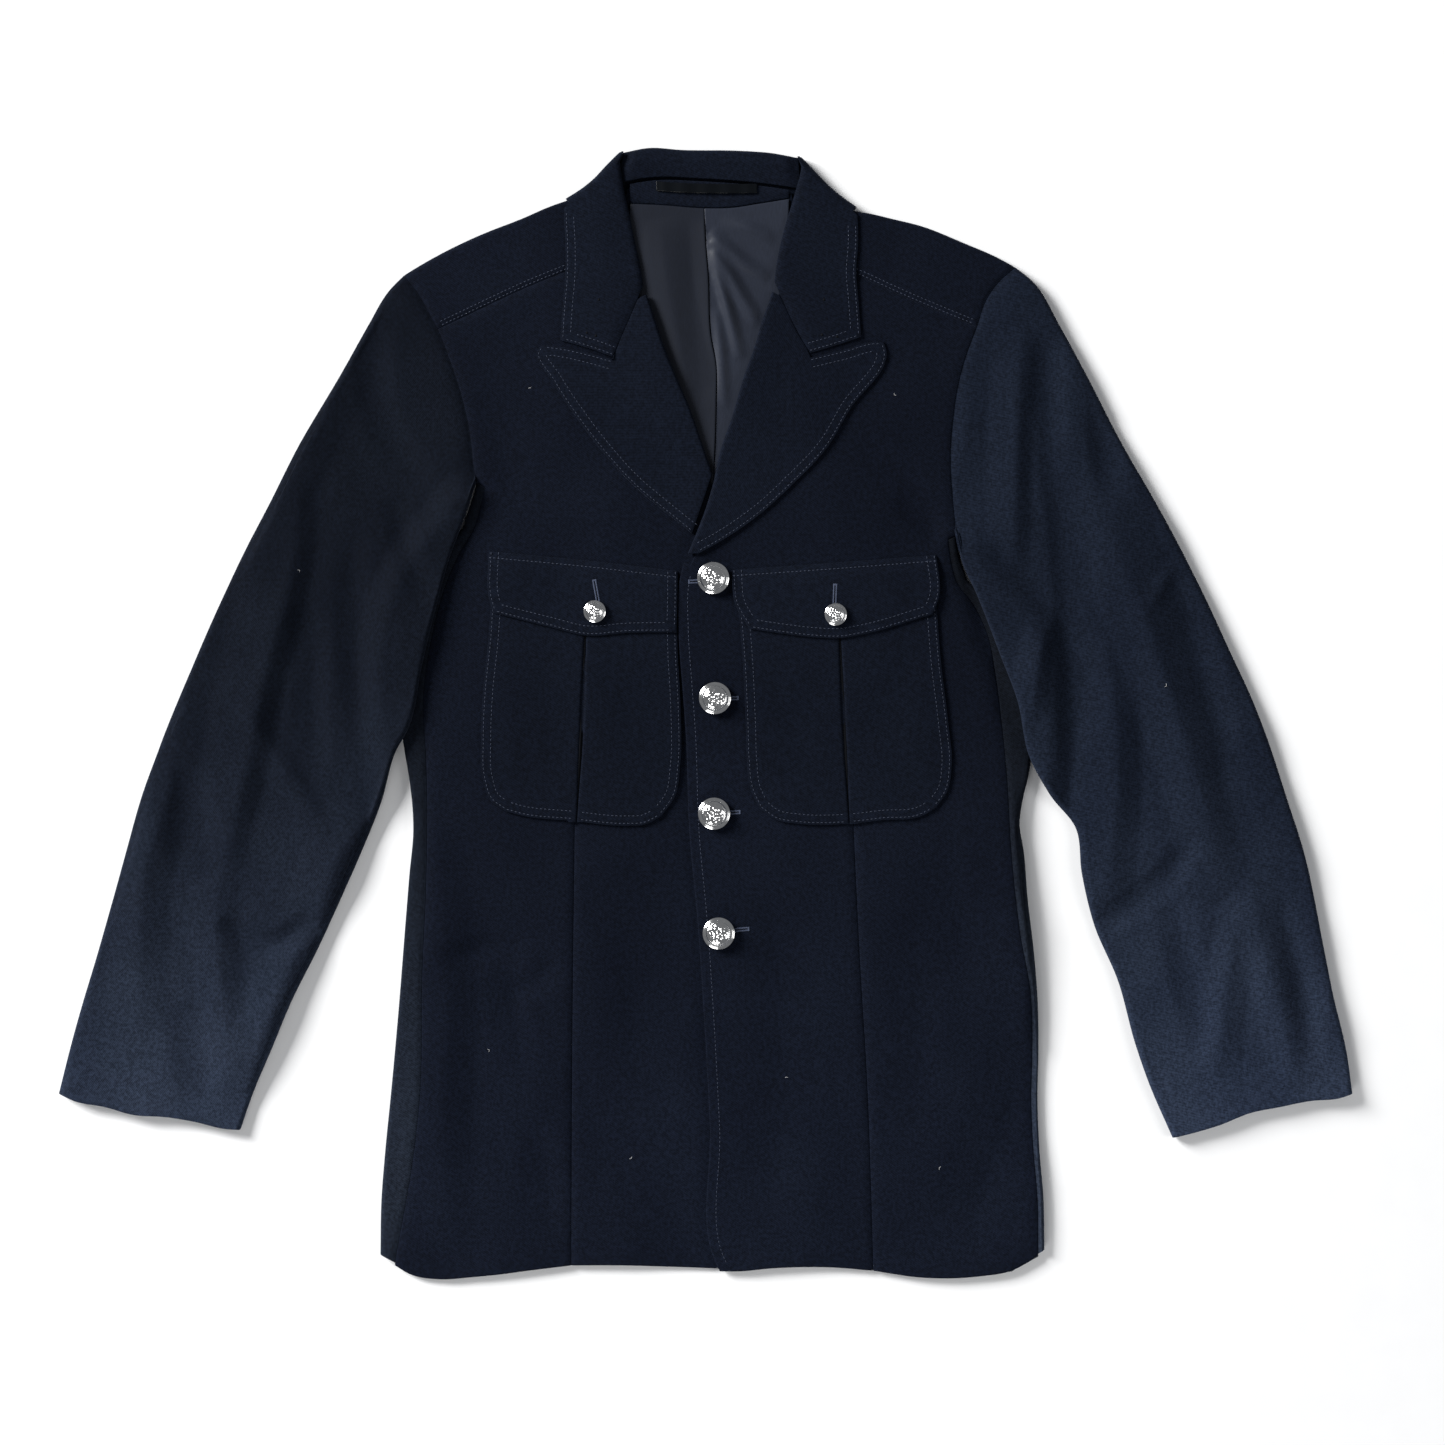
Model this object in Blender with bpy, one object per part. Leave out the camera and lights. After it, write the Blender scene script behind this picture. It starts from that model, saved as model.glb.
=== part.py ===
"""A navy police tunic laid flat on its back, front up, as one closed solid for each cut piece.

+X is the wearer's left, +Y runs from the hem to the collar and +Z is up. Lengths are in metres.
The plan outline is the cut of the cloth as it lies; each piece is a thin wall under or over the others.
"""
import math

import bmesh
import bpy
from mathutils import Vector
from mathutils.geometry import delaunay_2d_cdt

# Walls, clearances and heights of the layers
GAP = 0.0003
CLOTH = 0.0016
COLLAR_CLOTH = 0.0015
LINING_CLOTH = 0.0011
TAPE = 0.0010
BODY_TOP = 0.0070
SLEEVE_HEIGHT = 0.0068
FRONT_LAP = CLOTH + GAP
COLLAR_LIFT = COLLAR_CLOTH + GAP
LAPEL_RISE = COLLAR_CLOTH + GAP
ROLL_DROP = 0.0020
NECK_EDGE_RISE = 0.0032
BUTTON_RADIUS = 0.0120
FLAP_BUTTON_RADIUS = 0.0083

# Widths of the parts that turn under the fold edges, and how a turned part is divided
SIDE_TURN = 0.030
SIDE_TURN_AT_ARMHOLE = 0.0085
SIDE_TURN_GROWTH = 0.16
TURN_SHARES = (0.35, 0.65, 1.0)
YOKE_TURN = 0.025
SLEEVE_TURN_INNER = 0.064
SLEEVE_TURN_OUTER = 0.020
LAPEL_TURN = 0.0050
LAPEL_TIP = 0.0065
PLEAT_DEPTH = 0.0009
PLEAT_HALF_WIDTH = 0.0022

# How the right front sinks below the left one, and how the back rises over the collar's fall
LAP_RAMP_START = 0.075
LAP_RAMP = 0.070
COLLAR_RAMP_START = 0.270
COLLAR_RAMP = 0.082
COLLAR_HALF_WIDTH = 0.188
COLLAR_SIDE_RAMP = 0.070

# How the sleeve climbs over the body's flank
FLANK_START = 0.024
FLANK_INNER_X = 0.150
SLEEVE_PLATEAU = 0.009
SLEEVE_RAMP_BELOW = 0.021
SLEEVE_RAMP_ABOVE = 0.025
MOST_CREASE = 0.0026

# Where the lapels start above the lap, and their clearance to the other front
LAPEL_FOOT_Y = {"right": 0.1770, "left": 0.1170}
LAPEL_CLEARANCE = 0.0012
YOKE_CORNER = 0.002
FLAP_CLIMB = 0.25

# Mesh spacings
CLOTH_SPACING = 0.026
TRIM_SPACING = 0.015
EDGE_TOLERANCE = 0.00006
LEAST_EDGE = 0.0002
FOLD_STEPS = 4
SIDE_ROWS = 26
SLEEVE_ROWS = 23
SLEEVE_ROW_POWER = 1.2
SLEEVE_COLUMNS = [0.12, 0.23, 0.34, 0.45, 0.56, 0.67, 0.78, 0.89]
SLEEVE_LIP_IN = [1.0, 0.78, 0.56, 0.36, 0.18]
SLEEVE_LIP_OUT = [0.45, 1.0]
SLEEVE_UNDER = [0.0, 0.33, 0.67, 1.0]
YOKE_ROWS = 10
YOKE_COLUMNS = [0.0, 0.25, 0.5, 0.75, 1.0]
LAPEL_ROWS = 12
POCKET_ROWS = 11
POCKET_COLUMNS = [0.0, 0.15, 0.3, 0.44, 0.5, 0.56, 0.7, 0.85, 1.0]
FLAP_ROWS = [0.0, 0.12, 0.25, 0.4, 0.6, 0.8, 1.0]
FLAP_COLUMNS = 10
COLLAR_COLUMNS = [0.0, 0.012, 0.04, 0.09, 0.25, 0.42, 0.6, 0.8, 1.0]
ROLL_ROUND = [1.0, 0.55, 0.2, 0.0, 0.0, 0.0, 0.0, 0.0, 0.0]
LEAF_CORNER_COLUMN = 6

# Plan curves of the wearer's right half (x, y)
RIGHT = {
    "armhole": [(-0.1698, 0.1698), (-0.1713, 0.1802), (-0.1735, 0.1987), (-0.1772, 0.2213),
                (-0.1832, 0.2438), (-0.1908, 0.2653), (-0.1985, 0.2838), (-0.2050, 0.2960),
                (-0.2128, 0.3104), (-0.2235, 0.3238)],
    "fold_edge": [(-0.1685, 0.1680), (-0.1720, 0.1555), (-0.1770, 0.1410), (-0.1900, 0.1260),
                  (-0.2050, 0.1080), (-0.2180, 0.0840), (-0.2260, 0.0520), (-0.2280, 0.0180),
                  (-0.2260, -0.0080), (-0.2231, -0.0278), (-0.2187, -0.0551), (-0.2165, -0.0870),
                  (-0.2194, -0.1203), (-0.2224, -0.1573), (-0.2268, -0.2128), (-0.2335, -0.2868),
                  (-0.2372, -0.3238), (-0.2401, -0.3608), (-0.2409, -0.4015)],
    "side_seam": [(-0.1635, 0.1670), (-0.1665, 0.1540), (-0.1715, 0.1370), (-0.1830, 0.1170),
                  (-0.1935, 0.0920), (-0.2020, 0.0600), (-0.2075, 0.0300), (-0.2093, 0.0093),
                  (-0.2070, -0.0322), (-0.2065, -0.1158), (-0.2098, -0.1994), (-0.2113, -0.2831),
                  (-0.2150, -0.3193), (-0.2301, -0.4075)],
    "hem_outer": [(-0.2301, -0.4095), (-0.2187, -0.4163), (-0.1965, -0.4200), (-0.1743, -0.4185),
                  (-0.1521, -0.4163), (-0.1299, -0.4133), (-0.0995, -0.4097)],
    "hem_inner": [(-0.0995, -0.4097), (-0.0633, -0.4096), (-0.0189, -0.4111), (0.0280, -0.4130)],
    "dart": [(-0.0995, -0.4097), (-0.0988, -0.2542), (-0.0968, -0.0740)],
    "edge": [(0.0280, -0.4130), (0.0270, -0.1000), (0.0265, 0.1000), (0.0220, 0.1280),
             (0.0130, 0.1530), (0.0030, 0.1720)],
    "roll": [(0.0063, 0.1735), (-0.0026, 0.1994), (-0.0107, 0.2231), (-0.0218, 0.2490),
             (-0.0311, 0.2720), (-0.0370, 0.2897), (-0.0429, 0.3075), (-0.0463, 0.3150)],
    "yoke_seam": [(-0.1985, 0.2838), (-0.1580, 0.3030), (-0.1373, 0.3127), (-0.1066, 0.3255),
                  (-0.0603, 0.3423)],
    "shoulder_edge": [(-0.2235, 0.3238), (-0.2128, 0.3304), (-0.1913, 0.3423), (-0.1661, 0.3541),
                      (-0.1358, 0.3659), (-0.1121, 0.3760), (-0.1032, 0.3790), (-0.0855, 0.3850),
                      (-0.0670, 0.3896)],
    "lapel_top": [(-0.0688, 0.2611), (-0.0899, 0.2668), (-0.1077, 0.2705), (-0.1210, 0.2720)],
    "lapel_edge": [(-0.1210, 0.2720), (-0.1243, 0.2683), (-0.1129, 0.2446), (-0.0958, 0.2187),
                   (-0.0759, 0.1928), (-0.0544, 0.1691), (-0.0307, 0.1491), (-0.0100, 0.1325)],
    "gorge": [(-0.0463, 0.3156), (-0.0547, 0.2956), (-0.0640, 0.2742), (-0.0685, 0.2631)],
    "leaf_lower": [(-0.0685, 0.2631), (-0.0880, 0.2700), (-0.1073, 0.2753)],
    "leaf_outer": [(-0.1073, 0.2753), (-0.1055, 0.3016), (-0.1036, 0.3252), (-0.1036, 0.3482),
                   (-0.1047, 0.3700), (-0.1032, 0.3815)],
    "leaf_fold": [(-0.0640, 0.4148), (-0.1032, 0.3815)],
    "leaf_roll": [(-0.0463, 0.3156), (-0.0485, 0.3312), (-0.0522, 0.3482), (-0.0559, 0.3674),
                  (-0.0588, 0.3793), (-0.0618, 0.3955), (-0.0640, 0.4148)],
    "sleeve_inner": [(-0.1698, 0.1698), (-0.1735, 0.1565), (-0.1787, 0.1417), (-0.1883, 0.1166),
                     (-0.1987, 0.0788), (-0.2093, 0.0352), (-0.2200, -0.0130), (-0.2283, -0.0278),
                     (-0.2394, -0.0648), (-0.2542, -0.1018), (-0.2705, -0.1388), (-0.2875, -0.1758),
                     (-0.3060, -0.2128), (-0.3215, -0.2498), (-0.3370, -0.2868), (-0.3445, -0.3090)],
    "sleeve_outer": [(-0.2235, 0.3238), (-0.2342, 0.3127), (-0.2498, 0.2868), (-0.2705, 0.2498),
                     (-0.3030, 0.1943), (-0.3215, 0.1573), (-0.3408, 0.1203), (-0.3585, 0.0833),
                     (-0.3748, 0.0463), (-0.3904, 0.0093), (-0.4052, -0.0278), (-0.4185, -0.0648),
                     (-0.4288, -0.1018), (-0.4496, -0.1758), (-0.4607, -0.2128), (-0.4710, -0.2498),
                     (-0.4790, -0.2820)],
    "cuff": [(-0.3445, -0.3090), (-0.3556, -0.3082), (-0.3778, -0.3030), (-0.4000, -0.2993),
             (-0.4222, -0.2979), (-0.4444, -0.2919), (-0.4666, -0.2875), (-0.4790, -0.2820)],
    "pocket": {
        "top": [(-0.1580, 0.0960), (-0.0212, 0.0830)],
        "left": [(-0.1580, 0.0960), (-0.1605, 0.0540), (-0.1645, 0.0150), (-0.1660, -0.0200),
                 (-0.1650, -0.0480), (-0.1590, -0.0650), (-0.1480, -0.0730)],
        "bottom": [(-0.1480, -0.0730), (-0.1350, -0.0765), (-0.1005, -0.0800), (-0.0574, -0.0837),
                   (-0.0455, -0.0830), (-0.0330, -0.0770)],
        "right": [(-0.0212, 0.0830), (-0.0206, 0.0450), (-0.0185, 0.0060), (-0.0188, -0.0400),
                  (-0.0225, -0.0620), (-0.0330, -0.0770)],
        "pleat": [(-0.0880, 0.0900), (-0.0909, 0.0033), (-0.0952, -0.0804)]},
    "flap": {
        "top": [(-0.1602, 0.1191), (-0.0890, 0.1125), (-0.0206, 0.1046)],
        "left": [(-0.1602, 0.1191), (-0.1600, 0.0850), (-0.1567, 0.0736)],
        "bottom": [(-0.1567, 0.0736), (-0.1158, 0.0633), (-0.0880, 0.0568), (-0.0574, 0.0588),
                   (-0.0214, 0.0593)],
        "right": [(-0.0206, 0.1046), (-0.0208, 0.0800), (-0.0214, 0.0593)],
        "button": (-0.0818, 0.0746)}}

# Plan curves of the wearer's left half (x, y)
LEFT = {
    "armhole": [(0.1861, 0.1306), (0.1835, 0.1536), (0.1817, 0.1758), (0.1817, 0.1987),
                (0.1839, 0.2213), (0.1876, 0.2438), (0.1935, 0.2653), (0.2010, 0.2853),
                (0.2073, 0.3040), (0.2165, 0.3178), (0.2298, 0.3297)],
    "fold_edge": [(0.1848, 0.1290), (0.1876, 0.1130), (0.1925, 0.1000), (0.2060, 0.0880),
                  (0.2220, 0.0720), (0.2340, 0.0480), (0.2405, 0.0180), (0.2420, -0.0120),
                  (0.2394, -0.0463), (0.2350, -0.0648), (0.2327, -0.0833), (0.2357, -0.1018),
                  (0.2387, -0.1388), (0.2431, -0.1758), (0.2461, -0.2128), (0.2468, -0.2498),
                  (0.2461, -0.2868), (0.2475, -0.3238), (0.2505, -0.3608), (0.2512, -0.3978)],
    "side_seam": [(0.1798, 0.1280), (0.1822, 0.1110), (0.1865, 0.0960), (0.1980, 0.0810),
                  (0.2090, 0.0580), (0.2150, 0.0280), (0.2191, -0.0048), (0.2231, -0.0463),
                  (0.2261, -0.1018), (0.2327, -0.1632), (0.2405, -0.2070), (0.2422, -0.2498),
                  (0.2415, -0.2868), (0.2430, -0.3238), (0.2460, -0.3608), (0.2466, -0.4010)],
    "hem_outer": [(0.2466, -0.4030), (0.2253, -0.4140), (0.2031, -0.4177), (0.1809, -0.4192),
                  (0.1587, -0.4185), (0.1243, -0.4137)],
    "hem_inner": [(0.1243, -0.4137), (0.0921, -0.4111), (0.0477, -0.4118), (0.0255, -0.4140),
                  (0.0107, -0.4140)],
    "dart": [(0.1243, -0.4137), (0.1195, -0.2720), (0.1143, -0.1846), (0.1092, -0.0780)],
    "edge": [(0.0107, -0.4140), (0.0078, -0.4081), (0.0033, -0.3067), (-0.0014, -0.2194),
             (-0.0063, -0.1491), (-0.0115, -0.0944), (-0.0148, -0.0115), (-0.0170, 0.0181),
             (-0.0199, 0.0618), (-0.0192, 0.0973), (-0.0160, 0.1110)],
    "roll": [(-0.0160, 0.1110), (-0.0088, 0.1277), (-0.0004, 0.1491), (0.0056, 0.1691),
             (0.0107, 0.1928), (0.0196, 0.2187), (0.0278, 0.2468), (0.0374, 0.2742),
             (0.0418, 0.2897), (0.0477, 0.3060), (0.0512, 0.3185)],
    "yoke_seam": [(0.2010, 0.2853), (0.1436, 0.3093), (0.1139, 0.3230), (0.0662, 0.3423)],
    "shoulder_edge": [(0.2298, 0.3297), (0.2179, 0.3363), (0.1906, 0.3482), (0.1610, 0.3600),
                      (0.1373, 0.3659), (0.1195, 0.3700), (0.1121, 0.3711), (0.0944, 0.3780),
                      (0.0773, 0.3830)],
    "lapel_top": [(0.0773, 0.2623), (0.1021, 0.2683), (0.1254, 0.2744), (0.1316, 0.2742)],
    "lapel_edge": [(0.1316, 0.2742), (0.1333, 0.2698), (0.1062, 0.2231), (0.0910, 0.1972),
                   (0.0648, 0.1691), (0.0433, 0.1491), (0.0130, 0.1277), (-0.0100, 0.1150)],
    "gorge": [(0.0510, 0.3189), (0.0618, 0.2942), (0.0714, 0.2753), (0.0773, 0.2660)],
    "leaf_lower": [(0.0773, 0.2660), (0.0970, 0.2718), (0.1151, 0.2779)],
    "leaf_outer": [(0.1151, 0.2779), (0.1129, 0.3075), (0.1114, 0.3249), (0.1129, 0.3482),
                   (0.1121, 0.3744)],
    "leaf_fold": [(0.0714, 0.4111), (0.1121, 0.3744)],
    "leaf_roll": [(0.0510, 0.3189), (0.0529, 0.3334), (0.0559, 0.3482), (0.0596, 0.3626),
                  (0.0633, 0.3744), (0.0670, 0.3874), (0.0703, 0.3992), (0.0714, 0.4111)],
    "sleeve_inner": [(0.1861, 0.1306), (0.1891, 0.1129), (0.2002, 0.0877), (0.2172, 0.0440),
                     (0.2305, 0.0085), (0.2394, -0.0329), (0.2549, -0.0611), (0.2742, -0.0855),
                     (0.2786, -0.1188), (0.2882, -0.1580), (0.3053, -0.1980), (0.3186, -0.2461),
                     (0.3275, -0.2720), (0.3460, -0.3149)],
    "sleeve_outer": [(0.2298, 0.3297), (0.2431, 0.3186), (0.2623, 0.2868), (0.2823, 0.2498),
                     (0.3112, 0.1943), (0.3326, 0.1573), (0.3526, 0.1203), (0.3711, 0.0833),
                     (0.3881, 0.0463), (0.4052, 0.0093), (0.4192, -0.0278), (0.4311, -0.0648),
                     (0.4429, -0.1018), (0.4584, -0.1758), (0.4658, -0.2128), (0.4747, -0.2498),
                     (0.4792, -0.2820)],
    "cuff": [(0.3460, -0.3149), (0.3585, -0.3119), (0.3807, -0.3053), (0.4029, -0.2964),
             (0.4251, -0.2919), (0.4473, -0.2875), (0.4695, -0.2853), (0.4792, -0.2820)],
    "pocket": {
        "top": [(0.0235, 0.0830), (0.1700, 0.0930)],
        "left": [(0.0235, 0.0830), (0.0255, 0.0650), (0.0299, -0.0100), (0.0307, -0.0350),
                 (0.0334, -0.0566), (0.0400, -0.0710)],
        "bottom": [(0.0400, -0.0710), (0.0525, -0.0796), (0.0670, -0.0821), (0.1092, -0.0821),
                   (0.1306, -0.0796), (0.1587, -0.0770), (0.1700, -0.0710)],
        "right": [(0.1700, 0.0930), (0.1743, 0.0359), (0.1795, -0.0070), (0.1821, -0.0396),
                  (0.1790, -0.0580), (0.1700, -0.0710)],
        "pleat": [(0.0979, 0.0900), (0.1028, -0.0137), (0.1064, -0.0803)]},
    "flap": {
        "top": [(0.0193, 0.1055), (0.0980, 0.1110), (0.1708, 0.1166)],
        "left": [(0.0193, 0.1055), (0.0221, 0.0800), (0.0327, 0.0618)],
        "bottom": [(0.0327, 0.0618), (0.0525, 0.0588), (0.0810, 0.0554), (0.0993, 0.0548),
                   (0.1163, 0.0576), (0.1680, 0.0725)],
        "right": [(0.1708, 0.1166), (0.1728, 0.0855), (0.1680, 0.0725)],
        "button": (0.0962, 0.0724)}}

HALVES = {"right": RIGHT, "left": LEFT}

# Plan curves of the hidden hem and neck edge of the back panel
BACK_HEM = [(0.1500, -0.4110), (0.0000, -0.4080), (-0.1500, -0.4110)]
BACK_NECK = [(-0.0580, 0.3880), (-0.0400, 0.3930), (-0.0040, 0.3925), (0.0196, 0.3910),
             (0.0433, 0.3888), (0.0640, 0.3840)]

# Plan curves at the back of the neck, from the wearer's right to the left
NECK_TOP = [(-0.0640, 0.4148), (-0.0410, 0.4185), (-0.0189, 0.4170), (0.0255, 0.4163),
            (0.0477, 0.4148), (0.0714, 0.4111)]
NECK_SEAM = [(-0.0585, 0.3930), (-0.0410, 0.3963), (-0.0040, 0.3955), (0.0196, 0.3940),
             (0.0433, 0.3918), (0.0640, 0.3890)]
COLLAR_FALL = [(-0.1032, 0.3815), (-0.0800, 0.3740), (-0.0450, 0.3695), (0.0000, 0.3680),
               (0.0500, 0.3685), (0.0850, 0.3698), (0.1121, 0.3744)]
STAND_TOP = [(-0.0570, 0.4155), (-0.0410, 0.4183), (-0.0189, 0.4168), (0.0255, 0.4161),
             (0.0477, 0.4146), (0.0640, 0.4118)]
FACING_TOP = [(-0.0560, 0.3915), (-0.0400, 0.3940), (-0.0040, 0.3935), (0.0196, 0.3920),
              (0.0433, 0.3898), (0.0620, 0.3870)]
FACING_FOOT = [(-0.0560, 0.3775), (-0.0314, 0.3763), (-0.0018, 0.3741), (0.0196, 0.3744),
               (0.0396, 0.3774), (0.0620, 0.3810)]
LINING_TOP = [(-0.0560, 0.3769), (-0.0314, 0.3757), (-0.0018, 0.3735), (0.0196, 0.3738),
              (0.0396, 0.3768), (0.0620, 0.3804)]
LINING_RIGHT_EDGE = [(-0.0560, 0.3769), (-0.0560, 0.3140), (-0.0450, 0.2900), (-0.0300, 0.2490),
                     (-0.0190, 0.2230), (-0.0110, 0.1990), (0.0005, 0.1660)]
LINING_LEFT_EDGE = [(0.0620, 0.3804), (0.0590, 0.3190), (0.0500, 0.2900), (0.0360, 0.2470),
                    (0.0280, 0.2190), (0.0190, 0.1930), (0.0110, 0.1660)]
LINING_PLEAT = [(-0.0010, 0.3735), (0.0001, 0.3482), (0.0019, 0.3252), (0.0041, 0.2779),
                (0.0078, 0.2579), (0.0078, 0.2300), (0.0060, 0.1660)]
LOOP_TOP = [(-0.0366, 0.3933), (-0.0150, 0.3918), (0.0120, 0.3912), (0.0381, 0.3915)]
LOOP_FOOT = [(-0.0366, 0.3862), (-0.0150, 0.3848), (0.0120, 0.3842), (0.0381, 0.3845)]

# Large buttons: x, y, tilt about X and tilt about Y in degrees
FRONT_BUTTONS = [(0.0059, 0.0995, 2.0, -3.0), (0.0070, 0.0107, 1.0, 1.0),
                 (0.0063, -0.0748, -1.0, 1.0), (0.0098, -0.1632, 1.0, -1.0)]

# Button profile: fraction of the radius, height over the cloth
BUTTON_PROFILE = [(0.30, 0.0000), (0.30, 0.0022), (0.93, 0.0026), (1.00, 0.0033), (0.97, 0.0041),
                  (0.88, 0.0045), (0.72, 0.0062), (0.50, 0.0075), (0.25, 0.0082)]
BUTTON_CROWN = 0.0084
BUTTON_SIDES = 20
BUTTON_CLEARANCE = 0.0002

# Creases: x1, y1, x2, y2, half width, depth
SLEEVE_CREASES = {
    "right": [(-0.2320, 0.2470, -0.2180, 0.2100, 0.012, 0.0022),
              (-0.2250, 0.1300, -0.2700, 0.0200, 0.022, 0.0018),
              (-0.3917, -0.0440, -0.3650, -0.1600, 0.014, 0.0022),
              (-0.3430, -0.1536, -0.3080, -0.1691, 0.010, 0.0022),
              (-0.2860, -0.1402, -0.3304, -0.2631, 0.014, 0.0024),
              (-0.4000, -0.2150, -0.4000, -0.2808, 0.016, 0.0020),
              (-0.2950, 0.0200, -0.3300, -0.0700, 0.018, 0.0018)],
    "left": [(0.2342, 0.2919, 0.2283, 0.1535, 0.012, 0.0022),
             (0.2527, 0.0574, 0.2697, -0.0529, 0.014, 0.0022),
             (0.3008, 0.0352, 0.3363, -0.0833, 0.014, 0.0020),
             (0.3489, -0.0966, 0.2875, -0.1536, 0.011, 0.0024),
             (0.3970, -0.1321, 0.4370, -0.2416, 0.014, 0.0022),
             (0.3534, -0.1669, 0.3756, -0.2416, 0.014, 0.0020),
             (0.3400, 0.1400, 0.3700, 0.0500, 0.020, 0.0016)]}
BODY_CREASES = {
    "right": [(-0.1850, -0.1000, -0.1780, -0.3750, 0.018, 0.0014),
              (-0.1500, -0.1700, -0.1250, -0.3700, 0.020, 0.0012)],
    "left": [(0.1750, -0.1300, 0.2050, -0.2700, 0.018, 0.0012),
             (0.0600, -0.1800, 0.0850, -0.3700, 0.022, 0.0012)]}

COLOURS = {
    "navy_cloth": ((0.010, 0.014, 0.026, 1.0), 0.85, 0.0),
    "lining_satin": ((0.030, 0.038, 0.052, 1.0), 0.45, 0.0),
    "black_tape": ((0.008, 0.010, 0.014, 1.0), 0.40, 0.0),
    "chrome": ((0.80, 0.80, 0.80, 1.0), 0.18, 1.0)}


def clear_scene():
    """Remove whatever the scene holds."""
    for item in list(bpy.data.objects):
        bpy.data.objects.remove(item, do_unlink=True)


def own_material(piece_name, kind):
    """A material of the piece's own, with the colour and shine of its kind."""
    colour, roughness, metallic = COLOURS[kind]
    made = bpy.data.materials.new(piece_name + "_" + kind)
    made.use_nodes = True
    shader = made.node_tree.nodes["Principled BSDF"]
    shader.inputs["Base Color"].default_value = colour
    shader.inputs["Roughness"].default_value = roughness
    shader.inputs["Metallic"].default_value = metallic
    made.diffuse_color = colour
    return made


def ease(value):
    """A smooth step from 0 to 1."""
    value = min(1.0, max(0.0, value))
    return value * value * (3.0 - 2.0 * value)


def smooth_curve(points, step=0.003):
    """Closely spaced points on a smooth curve through the given plan points."""
    knots = [Vector(point) for point in points]
    spans = [(b - a).length for a, b in zip(knots, knots[1:])]
    slopes = []
    for index in range(len(knots)):
        if index == 0:
            slopes.append((knots[1] - knots[0]) / spans[0])
        elif index == len(knots) - 1:
            slopes.append((knots[-1] - knots[-2]) / spans[-1])
        else:
            before = (knots[index] - knots[index - 1]) / spans[index - 1]
            after = (knots[index + 1] - knots[index]) / spans[index]
            total = spans[index - 1] + spans[index]
            slopes.append((before * spans[index] + after * spans[index - 1]) / total)
    line = [knots[0]]
    for index, span in enumerate(spans):
        count = max(1, int(math.ceil(span / step)))
        for number in range(1, count + 1):
            t = number / count
            line.append(knots[index] * (2 * t ** 3 - 3 * t ** 2 + 1)
                        + slopes[index] * span * (t ** 3 - 2 * t ** 2 + t)
                        + knots[index + 1] * (3 * t ** 2 - 2 * t ** 3)
                        + slopes[index + 1] * span * (t ** 3 - t ** 2))
    return line


def along(line, fractions):
    """Points of a line at the given fractions of its length."""
    lengths = [0.0]
    for a, b in zip(line, line[1:]):
        lengths.append(lengths[-1] + (b - a).length)
    found = []
    for fraction in fractions:
        wanted = min(1.0, max(0.0, fraction)) * lengths[-1]
        index = 0
        while index < len(line) - 2 and lengths[index + 1] < wanted:
            index += 1
        share = (wanted - lengths[index]) / max(lengths[index + 1] - lengths[index], 1e-9)
        found.append(line[index].lerp(line[index + 1], share))
    return found


def shifted(line, distance):
    """The line moved sideways; a positive distance goes to the left of its direction."""
    moved = []
    for index, point in enumerate(line):
        before = line[max(0, index - 1)]
        after = line[min(len(line) - 1, index + 1)]
        way = (after - before).normalized()
        moved.append(point + Vector((-way.y, way.x)) * distance)
    return moved


def thinned(line):
    """The line with only the points that its shape needs."""
    kept = [line[0]]
    start = 0
    while start < len(line) - 1:
        stop = start + 1
        while stop + 1 < len(line):
            chord = line[stop + 1] - line[start]
            if chord.length > CLOTH_SPACING:
                break
            way = chord.normalized()
            sag = max(abs(way.cross(point - line[start])) for point in line[start + 1:stop + 1])
            if sag > EDGE_TOLERANCE:
                break
            stop += 1
        kept.append(line[stop])
        start = stop
    return kept


def joined(lines):
    """One closed outline from lines that follow each other."""
    outline = []
    for line in lines:
        for point in thinned(line):
            if not outline or (point - outline[-1]).length > LEAST_EDGE:
                outline.append(point)
    if (outline[0] - outline[-1]).length <= LEAST_EDGE:
        outline.pop()
    return outline


def trimmed(line, distance):
    """The line without its first stretch."""
    length = length_of(line)
    start = along(line, [distance / length])[0]
    walked = 0.0
    rest = []
    for a, b in zip(line, line[1:]):
        walked += (b - a).length
        if walked > distance * 1.2:
            rest.append(b)
    return [start] + rest


def distance_to_line(point, line):
    """The least distance from a plan point to a line of points."""
    least = 1.0
    for a, b in zip(line, line[1:]):
        way = b - a
        share = min(1.0, max(0.0, (point - a).dot(way) / max(way.length_squared, 1e-12)))
        least = min(least, (point - a - way * share).length)
    return least


def is_inside(point, outline):
    """Whether a plan point lies inside a closed outline."""
    inside = False
    for a, b in zip(outline, outline[1:] + outline[:1]):
        if (a.y > point.y) != (b.y > point.y):
            if point.x < a.x + (point.y - a.y) / (b.y - a.y) * (b.x - a.x):
                inside = not inside
    return inside


def crease_depth(x, y, creases):
    """How far the creases of a table push a surface down at a plan point."""
    depth = 0.0
    for x1, y1, x2, y2, half_width, most in creases:
        line = [Vector((x1, y1)), Vector((x2, y2))]
        depth += most * math.exp(-(distance_to_line(Vector((x, y)), line) / half_width) ** 2)
    return min(depth, MOST_CREASE)


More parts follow.
